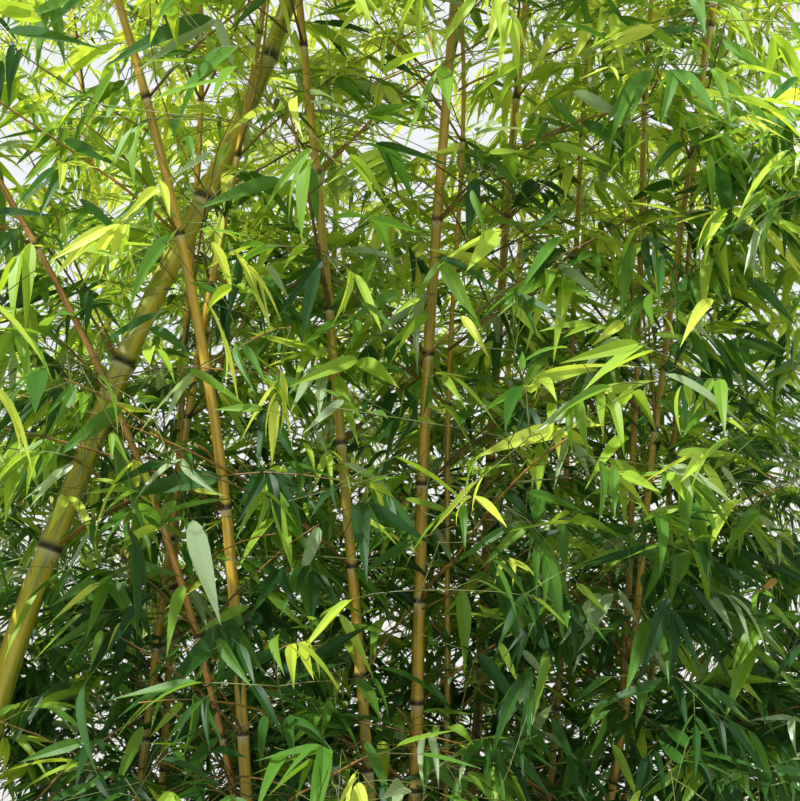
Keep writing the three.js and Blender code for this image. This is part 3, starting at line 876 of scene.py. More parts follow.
def wander(start, way, length, step, sag, sway, rng):
    """A path of short steps that sags with its own weight and keeps inside the crown's reach."""
    points = [start]
    for _ in range(max(1, round(length / step))):
        drift = Vector((rng.gauss(0, sway), rng.gauss(0, sway), rng.gauss(0, sway * LEVEL_SWAY)))
        way = (way + drift - UP * sag).normalized()
        place = points[-1] + way * step * rng.uniform(*STEP_SPREAD)
        if not in_reach(place):
            break
        points.append(place)
    return points


def add_limb(kind, points, thick, thin):
    growth.limbs[kind].append((points, thick, thin))


def stays(place, rng):
    """Whether a twig stays at a place: seldom where the clump is open."""
    return rng.random() ** 2 <= openness(place)


def grow_sprig(start, way, rng):
    if not stays(start, rng):
        return
    tip = start + way * SPRIG_LENGTH * rng.uniform(*SPRIG_LENGTHS)
    add_limb("sprigs", [start, tip], SPRIG_THICKNESS, SPRIG_THICKNESS * SPRIG_TAPER)
    add_spray(tip, way, rng, rng.choice(SPRIG_LEAVES))


def grow_shoot(start, way, length, rng):
    if not stays(start, rng):
        return
    points = wander(start, way, length, SHOOT_STEP, SHOOT_SAG, SHOOT_SWAY, rng)
    if len(points) < 2:
        grow_sprig(start, way, rng)
        return
    add_limb("shoots", points, SHOOT_THICKNESS, SPRIG_THICKNESS)
    dress(points, rng)


def dress(points, rng):
    """Sprigs at the nodes of a shoot, by turns on its two sides, and a spray at its tip."""
    side = rng.choice((-1, 1))
    for k in range(1, len(points) - 1):
        side = -side
        grow_sprig(points[k], side_way(points, k, side, *SPRIG_SPREAD, rng), rng)
    add_spray(points[-1], end_way(points), rng, rng.choice(SHOOT_LEAVES))


def clothe(points, bare, rng):
    """Shoots at the nodes of a branch, by turns on its two sides, and one that carries on from its tip."""
    side = rng.choice((-1, 1))
    for k in range(bare, len(points) - 1):
        side = -side
        way = side_way(points, k, side, *SHOOT_SPREAD, rng)
        share = SHOOT_LONGER[0] + SHOOT_LONGER[1] * (1 - k / len(points))
        grow_shoot(points[k], way, SHOOT_LENGTH * share * rng.uniform(*SHOOT_LENGTHS), rng)
    grow_shoot(points[-1], end_way(points), SHOOT_LENGTH * END_SHOOT, rng)


def grow_branch(start, way, length, thickness, rng):
    points = wander(start, way, length, BRANCH_STEP, BRANCH_SAG, BRANCH_SWAY, rng)
    if len(points) < 3:
        return
    add_limb("branches", points, thickness, BRANCH_TIP_THICKNESS)
    clothe(points, 1, rng)


def grow_fork(culm, share, azimuth, side, size, reach, rng):
    """One of a node's two branches, at the first of a few tries that stays clear of the other limbs."""
    along = way_at(culm.path, share)
    radius = culm.radius(share)
    for _ in range(FORK_TRIES):
        flat = (azimuth + side * rng.uniform(*FORK_TURN)) * DEGREE
        angle = rng.uniform(*FORK_ANGLE) * DEGREE
        outward = Vector((math.cos(flat), math.sin(flat), 0))
        way = (along * math.cos(angle) + outward * math.sin(angle)).normalized()
        start = culm.path(share) + outward * radius * FORK_DEPTH
        if limbs.clear(start, start + way * FORK_ROOM, FORK_CLEAR, FORK_CLEAR, [culm.name]):
            length = reach * size * rng.uniform(*BRANCH_LENGTHS)
            thickness = BRANCH_THICKNESS * (FORK_THICKNESS[0] + FORK_THICKNESS[1] * size)
            grow_branch(start, way, length, min(thickness, radius * FORK_THICKEST), rng)
            break


def grow_culm_branches(culm, index):
    """Two unlike branches at each node above the leaf line, on the culm's two sides by turns."""
    rng = random.Random(CULM_SEED + index)
    azimuth = rng.uniform(0, 360)
    leaf_line = LEAF_LINE + rng.uniform(*LEAF_LINE_SPREAD)
    for share in culm.nodes:
        azimuth += 180 + rng.gauss(0, NODE_TURN)
        height = culm.path(share).z
        if height < leaf_line:
            continue
        up_share = (height - leaf_line) / (culm.tip.z - leaf_line)
        low, span, power = BRANCH_SWELL
        reach = BRANCH_LENGTH * math.sin(math.pi * (low + span * up_share)) ** power
        for side, size in FORKS:
            grow_fork(culm, share, azimuth, side, size, reach, rng)


def grow_mass(mass, index):
    """The mass's stem and main twigs by the solids' rule, carried on to shoots, sprigs and sprays."""
    rng = random.Random(MASS_SEED + index)
    if mass.bough:
        add_limb("branches", along_path(mass.bough, BOUGH_STEPS), *BOUGH_THICKNESS)
    stem = along_path(mass.path, STEM_STEPS)
    add_limb("branches", stem, *STEM_THICKNESS)
    clothe(stem, STEM_BARE, rng)
    for twig in main_twigs(mass, index):
        points = along_path(smooth_path(twig), round(path_length(twig) / SHOOT_STEP))
        add_limb("shoots", points, SHOOT_THICKNESS * MAIN_TWIG_SWELL, SPRIG_THICKNESS)
        side = 1
        for k in range(TWIG_BARE, len(points) - 1):
            side = -side
            way = side_way(points, k, side, *MAIN_TWIG_SPREAD, rng)
            if rng.random() < TWIG_SHOOTS:
                grow_shoot(points[k], way, SHOOT_LENGTH * rng.uniform(*TWIG_SHOOT_LENGTHS), rng)
            else:
                grow_sprig(points[k], way, rng)
        add_spray(points[-1], end_way(points), rng, TWIG_LEAVES)


def limb_tree():
    """The nodes of all branches and shoots, and of the culms above the leaf line, to find the nearest one."""
    limbs_made = growth.limbs["branches"] + growth.limbs["shoots"]
    points = [point for limb in limbs_made for point in limb[0][1:]]
    nodes = [culm.path(share) for culm in culms for share in culm.nodes]
    points += [node for node in nodes if node.z > LEAF_LINE]
    tree = KDTree(len(points))
    for index, point in enumerate(points):
        tree.insert(point, index)
    tree.balance()
    return tree


def crown_cubes():
    low = np.floor((CENTRES - REACHES).min(0) / CUBE).astype(int).tolist()
    high = np.ceil((CENTRES + REACHES).max(0) / CUBE).astype(int).tolist()
    return list(itertools.product(*map(range, low, high)))


def fill_crown():
    """A shoot for each cube of the crown with too few leaves, from the nearest limb, apart from the sky's."""
    rng = random.Random(FILL_SEED)
    tree = limb_tree()
    cubes = crown_cubes()
    rng.shuffle(cubes)
    for cube in cubes:
        place = Vector([(k + rng.uniform(*CUBE_PLACES)) * CUBE for k in cube])
        wanted = np.interp(place.z, *CUBE_LEAVES) * (1 - sky_at(place))
        if growth.cubes[cube] >= wanted or not in_reach(place):
            continue
        start, _, off = tree.find(place)
        if off > FARTHEST_LIMB:
            continue
        if off > SPRIG_LENGTH:
            way = (place - start).normalized()
        else:
            way = Vector((rng.gauss(0, 1), rng.gauss(0, 1), SHORT_RISE)).normalized()
        grow_shoot(start, way, off + SHOOT_STEP, rng)


def fill_sight():
    """More shoots where leaves cover a cell of the photograph's frame too thinly, apart from the sky's."""
    rng = random.Random(SIGHT_SEED)
    tree = limb_tree()
    cells = list(itertools.product(range(PHOTO_LONG_SIDE // SIGHT_CELL), repeat=2))
    rng.shuffle(cells)
    for cell in cells:
        wanted = np.interp(cell[1], SIGHT_COVER_ROWS, SIGHT_COVER)
        for _ in range(SIGHT_TRIES):
            if growth.cover[cell] >= wanted:
                break
            pixel = [(k + rng.random()) * SIGHT_CELL for k in cell]
            place = seen_at(*pixel, rng.uniform(*SIGHT_DEPTH))
            if not in_reach(place) or sky_at(place):
                continue
            start, _, off = tree.find(place)
            if off < FARTHEST_LIMB:
                grow_shoot(start, (place - start).normalized(), off + SHOOT_STEP, rng)


# Branches that stand out in front of the clump: thickness at the start, then the places that each runs
# through, as the photograph's pixels across and down, and the depth
OUTER_BRANCHES = (
    (
        4.6, (448, 350, -40), (500, 311, -70), (550, 270, -100), (609, 230, -130), (655, 209, -150),
        (732, 180, -175),
    ),
    (4.2, (459, 90, -45), (479, 79, -70), (548, 54, -110), (607, 36, -140), (719, 3, -175)),
    (3.6, (420, 610, -60), (438, 601, -90), (497, 571, -130), (553, 531, -165)),
    (3.2, (590, 507, -105), (614, 482, -115), (638, 459, -118)),
    (3.6, (306, 150, -95), (270, 102, -125), (230, 66, -160), (163, 28, -200), (97, -2, -235)),
    (2.8, (306, 145, -95), (357, 171, -125), (400, 196, -140), (438, 223, -150)),
    (3.0, (148, 131, -135), (97, 102, -170), (38, 66, -215), (-10, 30, -250)),
    (2.6, (204, 188, -125), (176, 138, -150), (153, 66, -185), (150, 0, -215)),
    (2.2, (110, 378, -160), (179, 367, -190), (281, 375, -205)),
    (2.2, (128, 594, -180), (176, 617, -190), (242, 637, -200), (301, 647, -205), (357, 640, -205)),
    (2.6, (672, 620, -110), (706, 607, -140), (742, 596, -190)),
    (3.0, (400, 470, -55), (380, 430, -80), (352, 392, -120)),
)

# Leaves that stand out in front of the clump, by tone: root and tip as the photograph's pixels
OUTER_LEAVES = {
    "leaves_deep": (
        (12, 44, 8, 110), (22, 48, 4, 96), (2, 60, -4, 122), (-6, 212, 56, 214), (92, 293, 84, 339),
        (28, 268, 8, 324), (253, 627, 270, 670), (163, 737, 140, 775), (355, 709, 321, 770),
        (476, 178, 466, 240), (698, 296, 673, 370), (477, 653, 530, 719), (630, 737, 655, 800),
    ),
    "leaves_shade": (
        (84, -4, 38, 30), (8, 31, 102, 40), (268, -4, 227, 30), (212, 18, 97, 56), (64, 140, 122, 166),
        (79, 199, 135, 245), (306, 161, 288, 194), (158, 314, 89, 347), (222, 478, 102, 492),
        (245, 617, 150, 693), (283, 650, 196, 686), (622, 41, 711, 23), (749, 278, 800, 326),
        (670, 390, 749, 380), (798, 77, 760, 107), (566, 522, 612, 551), (497, 576, 522, 650),
        (551, 716, 581, 778), (724, 653, 798, 698),
    ),
    "leaves_mid": (
        (84, -6, 0, 26), (224, 61, 184, 94), (283, 181, 191, 202), (309, 166, 319, 227),
        (400, 293, 342, 319), (122, 408, 48, 460), (128, 563, 184, 576), (97, 581, 46, 604),
        (112, 614, 41, 652), (110, 617, 56, 665), (84, 742, 15, 760), (112, 772, 69, 798),
        (204, 755, 189, 798), (548, 97, 596, 145), (533, 230, 568, 201), (683, 212, 714, 237),
        (579, 367, 624, 339), (528, 492, 592, 510), (507, 528, 454, 561), (561, 520, 566, 576),
        (622, 538, 678, 566), (658, 400, 716, 431), (520, 604, 535, 647), (698, 584, 749, 607),
        (719, 612, 785, 678), (757, 698, 778, 742), (681, 744, 755, 762), (645, 683, 635, 732),
        (423, 752, 464, 798), (400, 418, 372, 446),
    ),
    "leaves_green": (
        (115, 69, 74, 138), (56, 153, 18, 189), (176, 500, 130, 558), (102, 630, 89, 668),
        (250, 606, 189, 632), (143, 726, 110, 798), (540, 512, 477, 568), (461, 589, 469, 676),
        (739, 609, 793, 663), (767, 602, 806, 640),
    ),
    "leaves_fresh": (
        (59, 120, 25, 150), (230, 143, 209, 176), (61, 217, 69, 258), (184, 701, 148, 737),
        (275, 489, 291, 571), (614, 54, 647, 94), (550, 145, 619, 161), (680, 128, 660, 166),
        (655, 334, 706, 342), (579, 517, 630, 538), (676, 454, 744, 453), (576, 584, 612, 614),
        (499, 642, 520, 686), (612, 744, 642, 804), (668, 640, 719, 696),
    ),
    "leaves_bright": (
        (339, 614, 380, 681), (522, 79, 550, 92), (476, -3, 436, 46), (489, 153, 525, 150),
        (642, 242, 614, 278), (512, 306, 548, 342), (604, 393, 658, 378), (767, 89, 739, 99),
        (528, 459, 540, 490), (704, 464, 737, 512), (727, 670, 770, 706),
    ),
    "leaves_yellow": (
        (222, 214, 214, 263), (122, 622, 107, 650), (194, 490, 228, 494), (591, 23, 571, 64),
        (400, 15, 431, 23), (517, 112, 522, 143),
    ),
    # These pale leaves are painted sheen: their whitish colour stands in for glints of the sky.
    "leaves_pale": (
        (217, 20, 133, 69), (217, 20, 236, 72), (212, 153, 166, 179), (268, 265, 291, 301),
        (319, 527, 298, 584), (344, 400, 301, 433), (314, 430, 332, 459), (573, 92, 645, 130),
        (657, 204, 683, 222), (734, 252, 775, 281), (558, 265, 612, 303), (702, 298, 690, 352),
        (584, 400, 535, 428), (721, 466, 742, 494), (619, 591, 640, 627), (522, 650, 553, 683),
        (655, 650, 681, 698),
    ),
    "leaves_straw": (
        (777, 579, 757, 594),
    ),
}
OUTER_DEPTH = (-275, -215)
OUTER_TIP_DEPTH = (-28, 14)
OUTER_SLENDERNESS = (4.4, 7)
OUTER_ROLL = 0.3
OUTER_FACE = (-0.8, 0.55)
OUTER_BENDS = 2
OUTER_BARE = 2
OUTER_LEAST_STEPS = 3
OUTER_TWIG = 0.8


def grow_outer_branch(thickness, pixels, rng):
    places = [seen_at(*row) for row in pixels]
    steps = max(OUTER_LEAST_STEPS, round(path_length(places) / BRANCH_STEP))
    points = along_path(smooth_path(places), steps)
    add_limb("branches", points, thickness, BRANCH_TIP_THICKNESS)
    clothe(points, OUTER_BARE, rng)


def grow_outer_leaf(tone, root_pixel, tip_pixel, tree, rng):
    """A leaf from one pixel of the photograph to another, on a twig of its own from the nearest limb."""
    depth = rng.uniform(*OUTER_DEPTH)
    root = seen_at(*root_pixel, depth)
    tip = seen_at(*tip_pixel, depth + rng.uniform(*OUTER_TIP_DEPTH))
    start, _, off = tree.find(root)
    twig = [start, (start + root) / 2 + UP * off * BOUGH_ARCH, root]
    kind = "shoots" if off > SPRIG_LENGTH else "sprigs"
    add_limb(kind, twig, SHOOT_THICKNESS * OUTER_TWIG, SPRIG_THICKNESS)
    way = (tip - root).normalized()
    across = Vector((rng.uniform(-OUTER_ROLL, OUTER_ROLL), *OUTER_FACE)).cross(way).normalized()
    length = (tip - root).length
    width = length / rng.uniform(*OUTER_SLENDERNESS)
    shape = len(LEAF_BENDS) * outline_at(FRONT - 1) + rng.randrange(OUTER_BENDS)
    growth.leaves[tone].append((*root, *way, *across, *way.cross(across), length, width, shape))


def grow_outer():
    rng = random.Random(OUTER_SEED)
    for thickness, *pixels in OUTER_BRANCHES:
        grow_outer_branch(thickness, pixels, rng)
    tree = limb_tree()
    for tone, rows in OUTER_LEAVES.items():
        for row in rows:
            grow_outer_leaf(tone, row[:2], row[2:], tree, rng)


# Meshes: templates of a leaf and of a tube, and the heaps that they are joined in
MERGE = 1e-5
ON_MIDDLE = 1e-4
STEEP = 0.6


def leaf_template(rows, bend, twist):
    """A lance-shaped leaf of unit length and width: a grid drawn in to its outline and folded a little."""
    bm = bmesh.new()
    bmesh.ops.create_grid(bm, x_segments=2, y_segments=len(rows) - 1, size=0.5)
    for vert in bm.verts:
        row = round((vert.co.y + 0.5) * (len(rows) - 1))
        along, width = rows[row]
        across = vert.co.x * width
        lift = abs(across) * LEAF_FOLD - bend * along**2
        angle = twist * along
        vert.co = (across * math.cos(angle), along, lift + across * math.sin(angle) * TWIST_WIDTH)
    bmesh.ops.remove_doubles(bm, verts=bm.verts, dist=MERGE)
    return template_arrays(bm)


def template_arrays(bm):
    """A shape as arrays: its vertices, the corners of its faces in a row, and each face's count of them."""
    bm.verts.index_update()
    coords = np.array([vert.co for vert in bm.verts])
    corners = np.array([vert.index for face in bm.faces for vert in face.verts])
    sizes = np.array([len(face.verts) for face in bm.faces])
    bm.free()
    return coords, corners, sizes


tube_templates = {}


def tube_template(sides, rings):
    """A closed tube of unit radius, whose rings stand at z = 0, 1, 2 and so on."""
    if (sides, rings) not in tube_templates:
        bm = bmesh.new()
        bmesh.ops.create_cone(bm, cap_ends=True, segments=sides, radius1=1, radius2=1, depth=rings - 1)
        long_edges = [edge for edge in bm.edges if abs(edge.verts[0].co.z - edge.verts[1].co.z) > 0.5]
        if rings > 2:
            bmesh.ops.subdivide_edges(bm, edges=long_edges, cuts=rings - 2)
        bmesh.ops.translate(bm, vec=(0, 0, (rings - 1) / 2), verts=bm.verts)
        tube_templates[sides, rings] = template_arrays(bm)
    return tube_templates[sides, rings]


def carried_tube(points, radii, sides):
    """A tube whose rings are carried to the points of a limb."""
    coords, corners, sizes = tube_template(sides, len(points))
    points = np.array(points)
    ways = np.gradient(points, axis=0)
    ways /= np.linalg.norm(ways, axis=1)[:, None]
    steep = abs(ways[len(ways) // 2][2]) > STEEP
    aside = np.array((1.0, 0, 0) if steep else (0, 0, 1.0))
    first = aside - ways * (ways @ aside)[:, None]
    first /= np.linalg.norm(first, axis=1)[:, None]
    second = np.cross(ways, first)
    ring = np.rint(coords[:, 2]).astype(int)
    radii = np.array(radii)[ring][:, None]
    sideways = first[ring] * coords[:, :1] * radii
    placed = points[ring] + sideways + second[ring] * coords[:, 1:2] * radii
    return placed, corners, sizes, ring, np.arctan2(coords[:, 1], coords[:, 0])


def shade_smooth(mesh):
    mesh.polygons.foreach_set("use_smooth", np.ones(len(mesh.polygons), bool))


def mesh_of(name, bm):
    mesh = bpy.data.meshes.new(name)
    bm.to_mesh(mesh)
    bm.free()
    return mesh


class Heap:
    """Shapes that are joined into one mesh. Leaves give their flat places too, for the blade's map."""

    def __init__(self):
        self.coords, self.corners, self.sizes, self.flat = [], [], [], []
        self.count = 0

    def add(self, coords, corners, sizes, flat=None):
        self.coords.append(coords)
        self.corners.append(corners + self.count)
        self.sizes.append(sizes)
        if flat is not None:
            self.flat.append(flat)
        self.count += len(coords)

    def mesh(self, name):
        coords = np.concatenate(self.coords) * MM
        corners = np.concatenate(self.corners)
        sizes = np.concatenate(self.sizes)
        mesh = bpy.data.meshes.new(name)
        mesh.vertices.add(len(coords))
        mesh.vertices.foreach_set("co", coords.ravel())
        mesh.loops.add(len(corners))
        mesh.loops.foreach_set("vertex_index", corners)
        mesh.polygons.add(len(sizes))
        mesh.polygons.foreach_set("loop_start", np.concatenate(([0], np.cumsum(sizes)[:-1])))
        mesh.update(calc_edges=True)
        shade_smooth(mesh)
        if self.flat:
            flat = np.concatenate(self.flat)
            layer = mesh.uv_layers.new(name="blade")
            layer.data.foreach_set("uv", flat[corners].ravel())
            ends = np.empty(len(mesh.edges) * 2, np.int32)
            mesh.edges.foreach_get("vertices", ends)
            crease = (abs(flat[ends, 0] - 0.5) < ON_MIDDLE).reshape(-1, 2).all(1)
            sharp = mesh.attributes.new("sharp_edge", "BOOLEAN", "EDGE")
            sharp.data.foreach_set("value", crease)
        return mesh


def show(mesh, material, slot, *nodes):
    piece = bpy.data.objects.new(mesh.name, mesh)
    bpy.context.collection.objects.link(piece)
    mesh.materials.clear()
    mesh.materials.append(material)
    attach(piece, "root")
    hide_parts(*nodes)


# Materials: the colours are sRGB, and a pattern's scale comes from its real size
SCAR_BROWN = "#2e2417"
LEAF_FINISH = (0.44, 0.34)
PALE_LEAF_FINISH = (0.3, 0.6)
LEAF_GLOW_SHARE = 0.42


def colour(code):
    """A plain sRGB hex value as linear red, green and blue."""
    parts = [int(code[k : k + 2], 16) / 255 for k in (1, 3, 5)]
    return (*[c / 12.92 if c <= 0.04045 else ((c + 0.055) / 1.055) ** 2.4 for c in parts], 1)


def scale_for(size):
    """The scale on Object coordinates of a pattern whose grains are so many millimetres across."""
    return 1 / (size * MM)


def add_node(tree, kind, links=None, stops=(), **settings):
    """Adds a node with its settings. Links give its inputs, each a value or another node's output. Stops are
    a colour ramp's."""
    node = tree.nodes.new(kind)
    for name, value in settings.items():
        setattr(node, name, value)
    for name, value in (links or {}).items():
        if isinstance(value, bpy.types.NodeSocket):
            tree.links.new(value, node.inputs[name])
        else:
            node.inputs[name].default_value = value
    for k, (place, code) in enumerate(stops):
        stop = node.color_ramp.elements[k] if k < 2 else node.color_ramp.elements.new(place)
        stop.position = place
        stop.color = colour(code)
    return node


def new_material(name):
    material = bpy.data.materials.new(name)
    material.use_nodes = True
    material.node_tree.nodes.clear()
    return material, material.node_tree


def leaf_material(name, blade, glow):
    """Living bamboo leaf: a thin waxy blade, half glossy from above, the pale ones more so. Light that falls
    on its far side comes through yellower. About ten veins run along it, fewer than life, to show."""
    roughness, gloss = PALE_LEAF_FINISH if name == "leaves_pale" else LEAF_FINISH
    material, tree = new_material(name)
    place = add_node(tree, "ShaderNodeUVMap", uv_map="blade").outputs["UV"]
    veins = add_node(tree, "ShaderNodeTexWave", {"Vector": place, "Scale": 3.2}, bands_direction="X")
    bump = add_node(tree, "ShaderNodeBump", {
        "Height": veins.outputs["Fac"], "Strength": 0.12, "Distance": 0.0004})
    body = add_node(tree, "ShaderNodeBsdfPrincipled", {
        "Base Color": colour(blade), "Roughness": roughness, "IOR": 1.42, "Specular IOR Level": gloss,
        "Normal": bump.outputs["Normal"]})
    through = add_node(tree, "ShaderNodeBsdfTranslucent", {"Color": colour(glow)})
    mix = add_node(tree, "ShaderNodeMixShader", {"Fac": LEAF_GLOW_SHARE})
    tree.links.new(body.outputs[0], mix.inputs[1])
    tree.links.new(through.outputs[0], mix.inputs[2])
    add_node(tree, "ShaderNodeOutputMaterial", {"Surface": mix.outputs[0]})
    return material


def cane_material(name, sunny, shady, scar_brown):
    """Bamboo cane: a hard waxy skin, smooth and half glossy, golden and greener in streaks up to 260 mm long,
    which are partly the cane's own green and partly painted shade. It has brown spots, and each node a dark
    scar with pale waxy bloom under it."""
    material, tree = new_material(name)
    skin = add_node(tree, "ShaderNodeAttribute", attribute_name="skin").outputs["Vector"]
    scar = add_node(tree, "ShaderNodeAttribute", attribute_name="scar").outputs["Fac"]
    bloom = add_node(tree, "ShaderNodeAttribute", attribute_name="bloom").outputs["Fac"]
    streaks = add_node(tree, "ShaderNodeTexNoise", {
        "Vector": skin, "Scale": 1.0, "Detail": 4.0, "Roughness": 0.6})
    streaks_and_shade = add_node(tree, "ShaderNodeValToRGB", {"Fac": streaks.outputs["Fac"]},
                    ((0.36, shady), (0.58, sunny)))
    spots = add_node(tree, "ShaderNodeTexNoise", {"Vector": skin, "Scale": 7.0, "Detail": 2.0})
    spotted_share = add_node(tree, "ShaderNodeMapRange", {
        "Value": spots.outputs["Fac"], "From Min": 0.66, "From Max": 0.76, "To Max": 0.55})
    spotted = add_node(tree, "ShaderNodeMix", {
        "Factor": spotted_share.outputs["Result"], "A": streaks_and_shade.outputs["Color"], "B": colour("#6a4a22")},
        data_type="RGBA")
    bloomed = add_node(tree, "ShaderNodeMix", {
        "Factor": bloom, "A": spotted.outputs[2], "B": colour("#cfc9a8")}, data_type="RGBA")
    scarred = add_node(tree, "ShaderNodeMix", {
        "Factor": scar, "A": bloomed.outputs[2], "B": colour(scar_brown)}, data_type="RGBA")
    body = add_node(tree, "ShaderNodeBsdfPrincipled", {
        "Base Color": scarred.outputs[2], "Roughness": 0.38, "IOR": 1.5})
    add_node(tree, "ShaderNodeOutputMaterial", {"Surface": body.outputs[0]})
    return material


def twig_material(name, sunny, shady):
    """Thin bamboo twig: the same hard skin, duller, in two tones, painted sun and shade, that change every
    110 mm or so.
    """
    material, tree = new_material(name)
    place = add_node(tree, "ShaderNodeTexCoord").outputs["Object"]
    sun_and_shade_patches = add_node(tree, "ShaderNodeTexNoise", {"Vector": place, "Scale": scale_for(111.1), "Detail": 2.0})
    tone = add_node(tree, "ShaderNodeValToRGB", {"Fac": sun_and_shade_patches.outputs["Fac"]}, ((0.4, shady), (0.6, sunny)))
    body = add_node(tree, "ShaderNodeBsdfPrincipled", {
        "Base Color": tone.outputs["Color"], "Roughness": 0.5, "IOR": 1.5})
    add_node(tree, "ShaderNodeOutputMaterial", {"Surface": body.outputs[0]})
    return material


def clay_material():
    """Terracotta: unglazed fired clay, matt and a little sandy. Its tone clouds every 200 mm, pale salts
    stand on it in patches of about 110 mm, and it grows darker towards its foot. Its grit of 2.4 mm is
    coarser than life, to show."""
    material, tree = new_material("terracotta")
    place = add_node(tree, "ShaderNodeTexCoord").outputs["Object"]
    cloud = add_node(tree, "ShaderNodeTexNoise", {
        "Vector": place, "Scale": scale_for(200), "Detail": 6.0, "Roughness": 0.6})
    fired = add_node(tree, "ShaderNodeValToRGB", {"Fac": cloud.outputs["Fac"]},
                     ((0.32, "#a0543a"), (0.5, "#b5674a"), (0.7, "#c47a5b")))
    salts = add_node(tree, "ShaderNodeTexNoise", {
        "Vector": place, "Scale": scale_for(111.1), "Detail": 8.0, "Roughness": 0.7, "Distortion": 0.6})
    salted_share = add_node(tree, "ShaderNodeMapRange", {
        "Value": salts.outputs["Fac"], "From Min": 0.54, "From Max": 0.72, "To Max": 0.5})
    salted = add_node(tree, "ShaderNodeMix", {
        "Factor": salted_share.outputs["Result"], "A": fired.outputs["Color"], "B": colour("#d9c3b2")},
        data_type="RGBA")
    height = add_node(tree, "ShaderNodeSeparateXYZ", {"Vector": place}).outputs["Z"]
    # Darker towards the pot's foot, over its lowest 160 mm.
    foot_darkening_share = add_node(tree, "ShaderNodeMapRange", {
        "Value": height, "From Min": 0.0, "From Max": 0.16, "To Min": 0.35, "To Max": 0.0})
    darkened_foot = add_node(tree, "ShaderNodeMix", {
        "Factor": foot_darkening_share.outputs["Result"], "A": salted.outputs[2], "B": colour("#7d4029")},
        data_type="RGBA")
    grit = add_node(tree, "ShaderNodeTexNoise", {"Vector": place, "Scale": scale_for(2.381), "Detail": 3.0})
    bump = add_node(tree, "ShaderNodeBump", {
        "Height": grit.outputs["Fac"], "Strength": 0.35, "Distance": 0.0008})
    body = add_node(tree, "ShaderNodeBsdfPrincipled", {
        "Base Color": darkened_foot.outputs[2], "Roughness": 0.86, "IOR": 1.5, "Normal": bump.outputs["Normal"]})
    add_node(tree, "ShaderNodeOutputMaterial", {"Surface": body.outputs[0]})
    return material


def soil_material():
    """Potting soil: moist peat and bark in crumbs of about 11 mm, almost black, with paler fibres."""
    material, tree = new_material("potting_soil")
    place = add_node(tree, "ShaderNodeTexCoord").outputs["Object"]
    crumbs = add_node(tree, "ShaderNodeTexNoise", {
        "Vector": place, "Scale": scale_for(11.11), "Detail": 6.0, "Roughness": 0.7})
    shade = add_node(tree, "ShaderNodeValToRGB", {"Fac": crumbs.outputs["Fac"]},
                     ((0.35, "#20160f"), (0.52, "#3a2a1e"), (0.72, "#5d4735")))
    bump = add_node(tree, "ShaderNodeBump", {
        "Height": crumbs.outputs["Fac"], "Strength": 0.8, "Distance": 0.004})
    body = add_node(tree, "ShaderNodeBsdfPrincipled", {
        "Base Color": shade.outputs["Color"], "Roughness": 0.95, "IOR": 1.4,
        "Normal": bump.outputs["Normal"]})
    add_node(tree, "ShaderNodeOutputMaterial", {"Surface": body.outputs[0]})
    return material


def floor_material():
    """Plain matt studio floor, which the lamps bring up to a pale grey."""
    material, tree = new_material("pale_floor")
    body = add_node(tree, "ShaderNodeBsdfPrincipled", {"Base Color": colour("#6f6e6b"), "Roughness": 0.9})
    add_node(tree, "ShaderNodeOutputMaterial", {"Surface": body.outputs[0]})
    return material


# Pot: a profile turned round, whose edges are steps out or in from a radius and up or down from a height
FOOT_EDGE = ((-9, 0), (-3, 2.5), (0, 8))
WALL_BELOW_NECK = 6
SHOULDER = ((1, -1), (8, 1.5))
RIM_OUTSIDE = ((-6, 4), (-1.5, 9), (0, 17), (-1, 30), (-1.5, 42), (0, 56))
RIM_INSIDE = ((0, -18), (-1, -40))


def turned_shape(profile, steps):
    """A profile of radii and heights, spun right round the upright axis."""
    bm = bmesh.new()
    verts = [bm.verts.new((x * MM, 0, z * MM)) for x, z in profile]
    edges = [bm.edges.new(pair) for pair in zip(verts, verts[1:])]
    bmesh.ops.spin(bm, geom=verts + edges, axis=(0, 0, 1), cent=(0, 0, 0), dvec=(0, 0, 0), angle=2 * math.pi,
                   steps=steps, use_merge=True)
    bmesh.ops.remove_doubles(bm, verts=bm.verts, dist=MERGE)
    bmesh.ops.recalc_face_normals(bm, faces=bm.faces)
    return bm


def stepped(radius, height, steps):
    return [(radius + out, height + up) for out, up in steps]


def pot_profile():
    """From the middle of the pot's underside up its outside, over the rolled rim and down to its floor."""
    neck = POT_HEIGHT - POT_RIM_HEIGHT
    profile = [(0, 0), *stepped(POT_FOOT_RADIUS, 0, FOOT_EDGE)]
    for k in range(1, THROWING_LINES + 1):
        share = k / (THROWING_LINES + 1)
        bulge = POT_BULGE * math.sin(math.pi * share) + THROWING_DEPTH * math.sin(k * THROWING_TURN)
        height = blend(FOOT_EDGE[-1][1], neck - WALL_BELOW_NECK, share)
        profile.append((blend(POT_FOOT_RADIUS, POT_NECK_RADIUS, share) + bulge, height))
    profile += stepped(POT_NECK_RADIUS, neck, SHOULDER) + stepped(POT_RIM_RADIUS, neck, RIM_OUTSIDE)
    across, up = RIM_ROLL
    for k in range(1, RIM_ROLL_STEPS):
        turn = math.pi * k / RIM_ROLL_STEPS
        radius = POT_RIM_RADIUS - across + across * math.cos(turn)
        profile.append((radius, POT_HEIGHT - up + up * math.sin(turn)))
    profile += stepped(POT_INSIDE, POT_HEIGHT, RIM_INSIDE)
    return [*profile, (POT_FOOT_RADIUS - POT_WALL, POT_FLOOR), (0, POT_FLOOR)]


def drain_drills():
    bm = bmesh.new()
    radius, depth = DRAIN_RADIUS * MM, POT_FLOOR * 3 * MM
    for k in range(DRAIN_HOLES):
        angle = (k + 0.5) / DRAIN_HOLES * 2 * math.pi
        place = Matrix.Translation((DRAIN_RING * math.cos(angle) * MM, DRAIN_RING * math.sin(angle) * MM, 0))
        bmesh.ops.create_cone(bm, cap_ends=True, segments=DRAIN_SIDES, radius1=radius, radius2=radius,
                              depth=depth, matrix=place)
    return bm


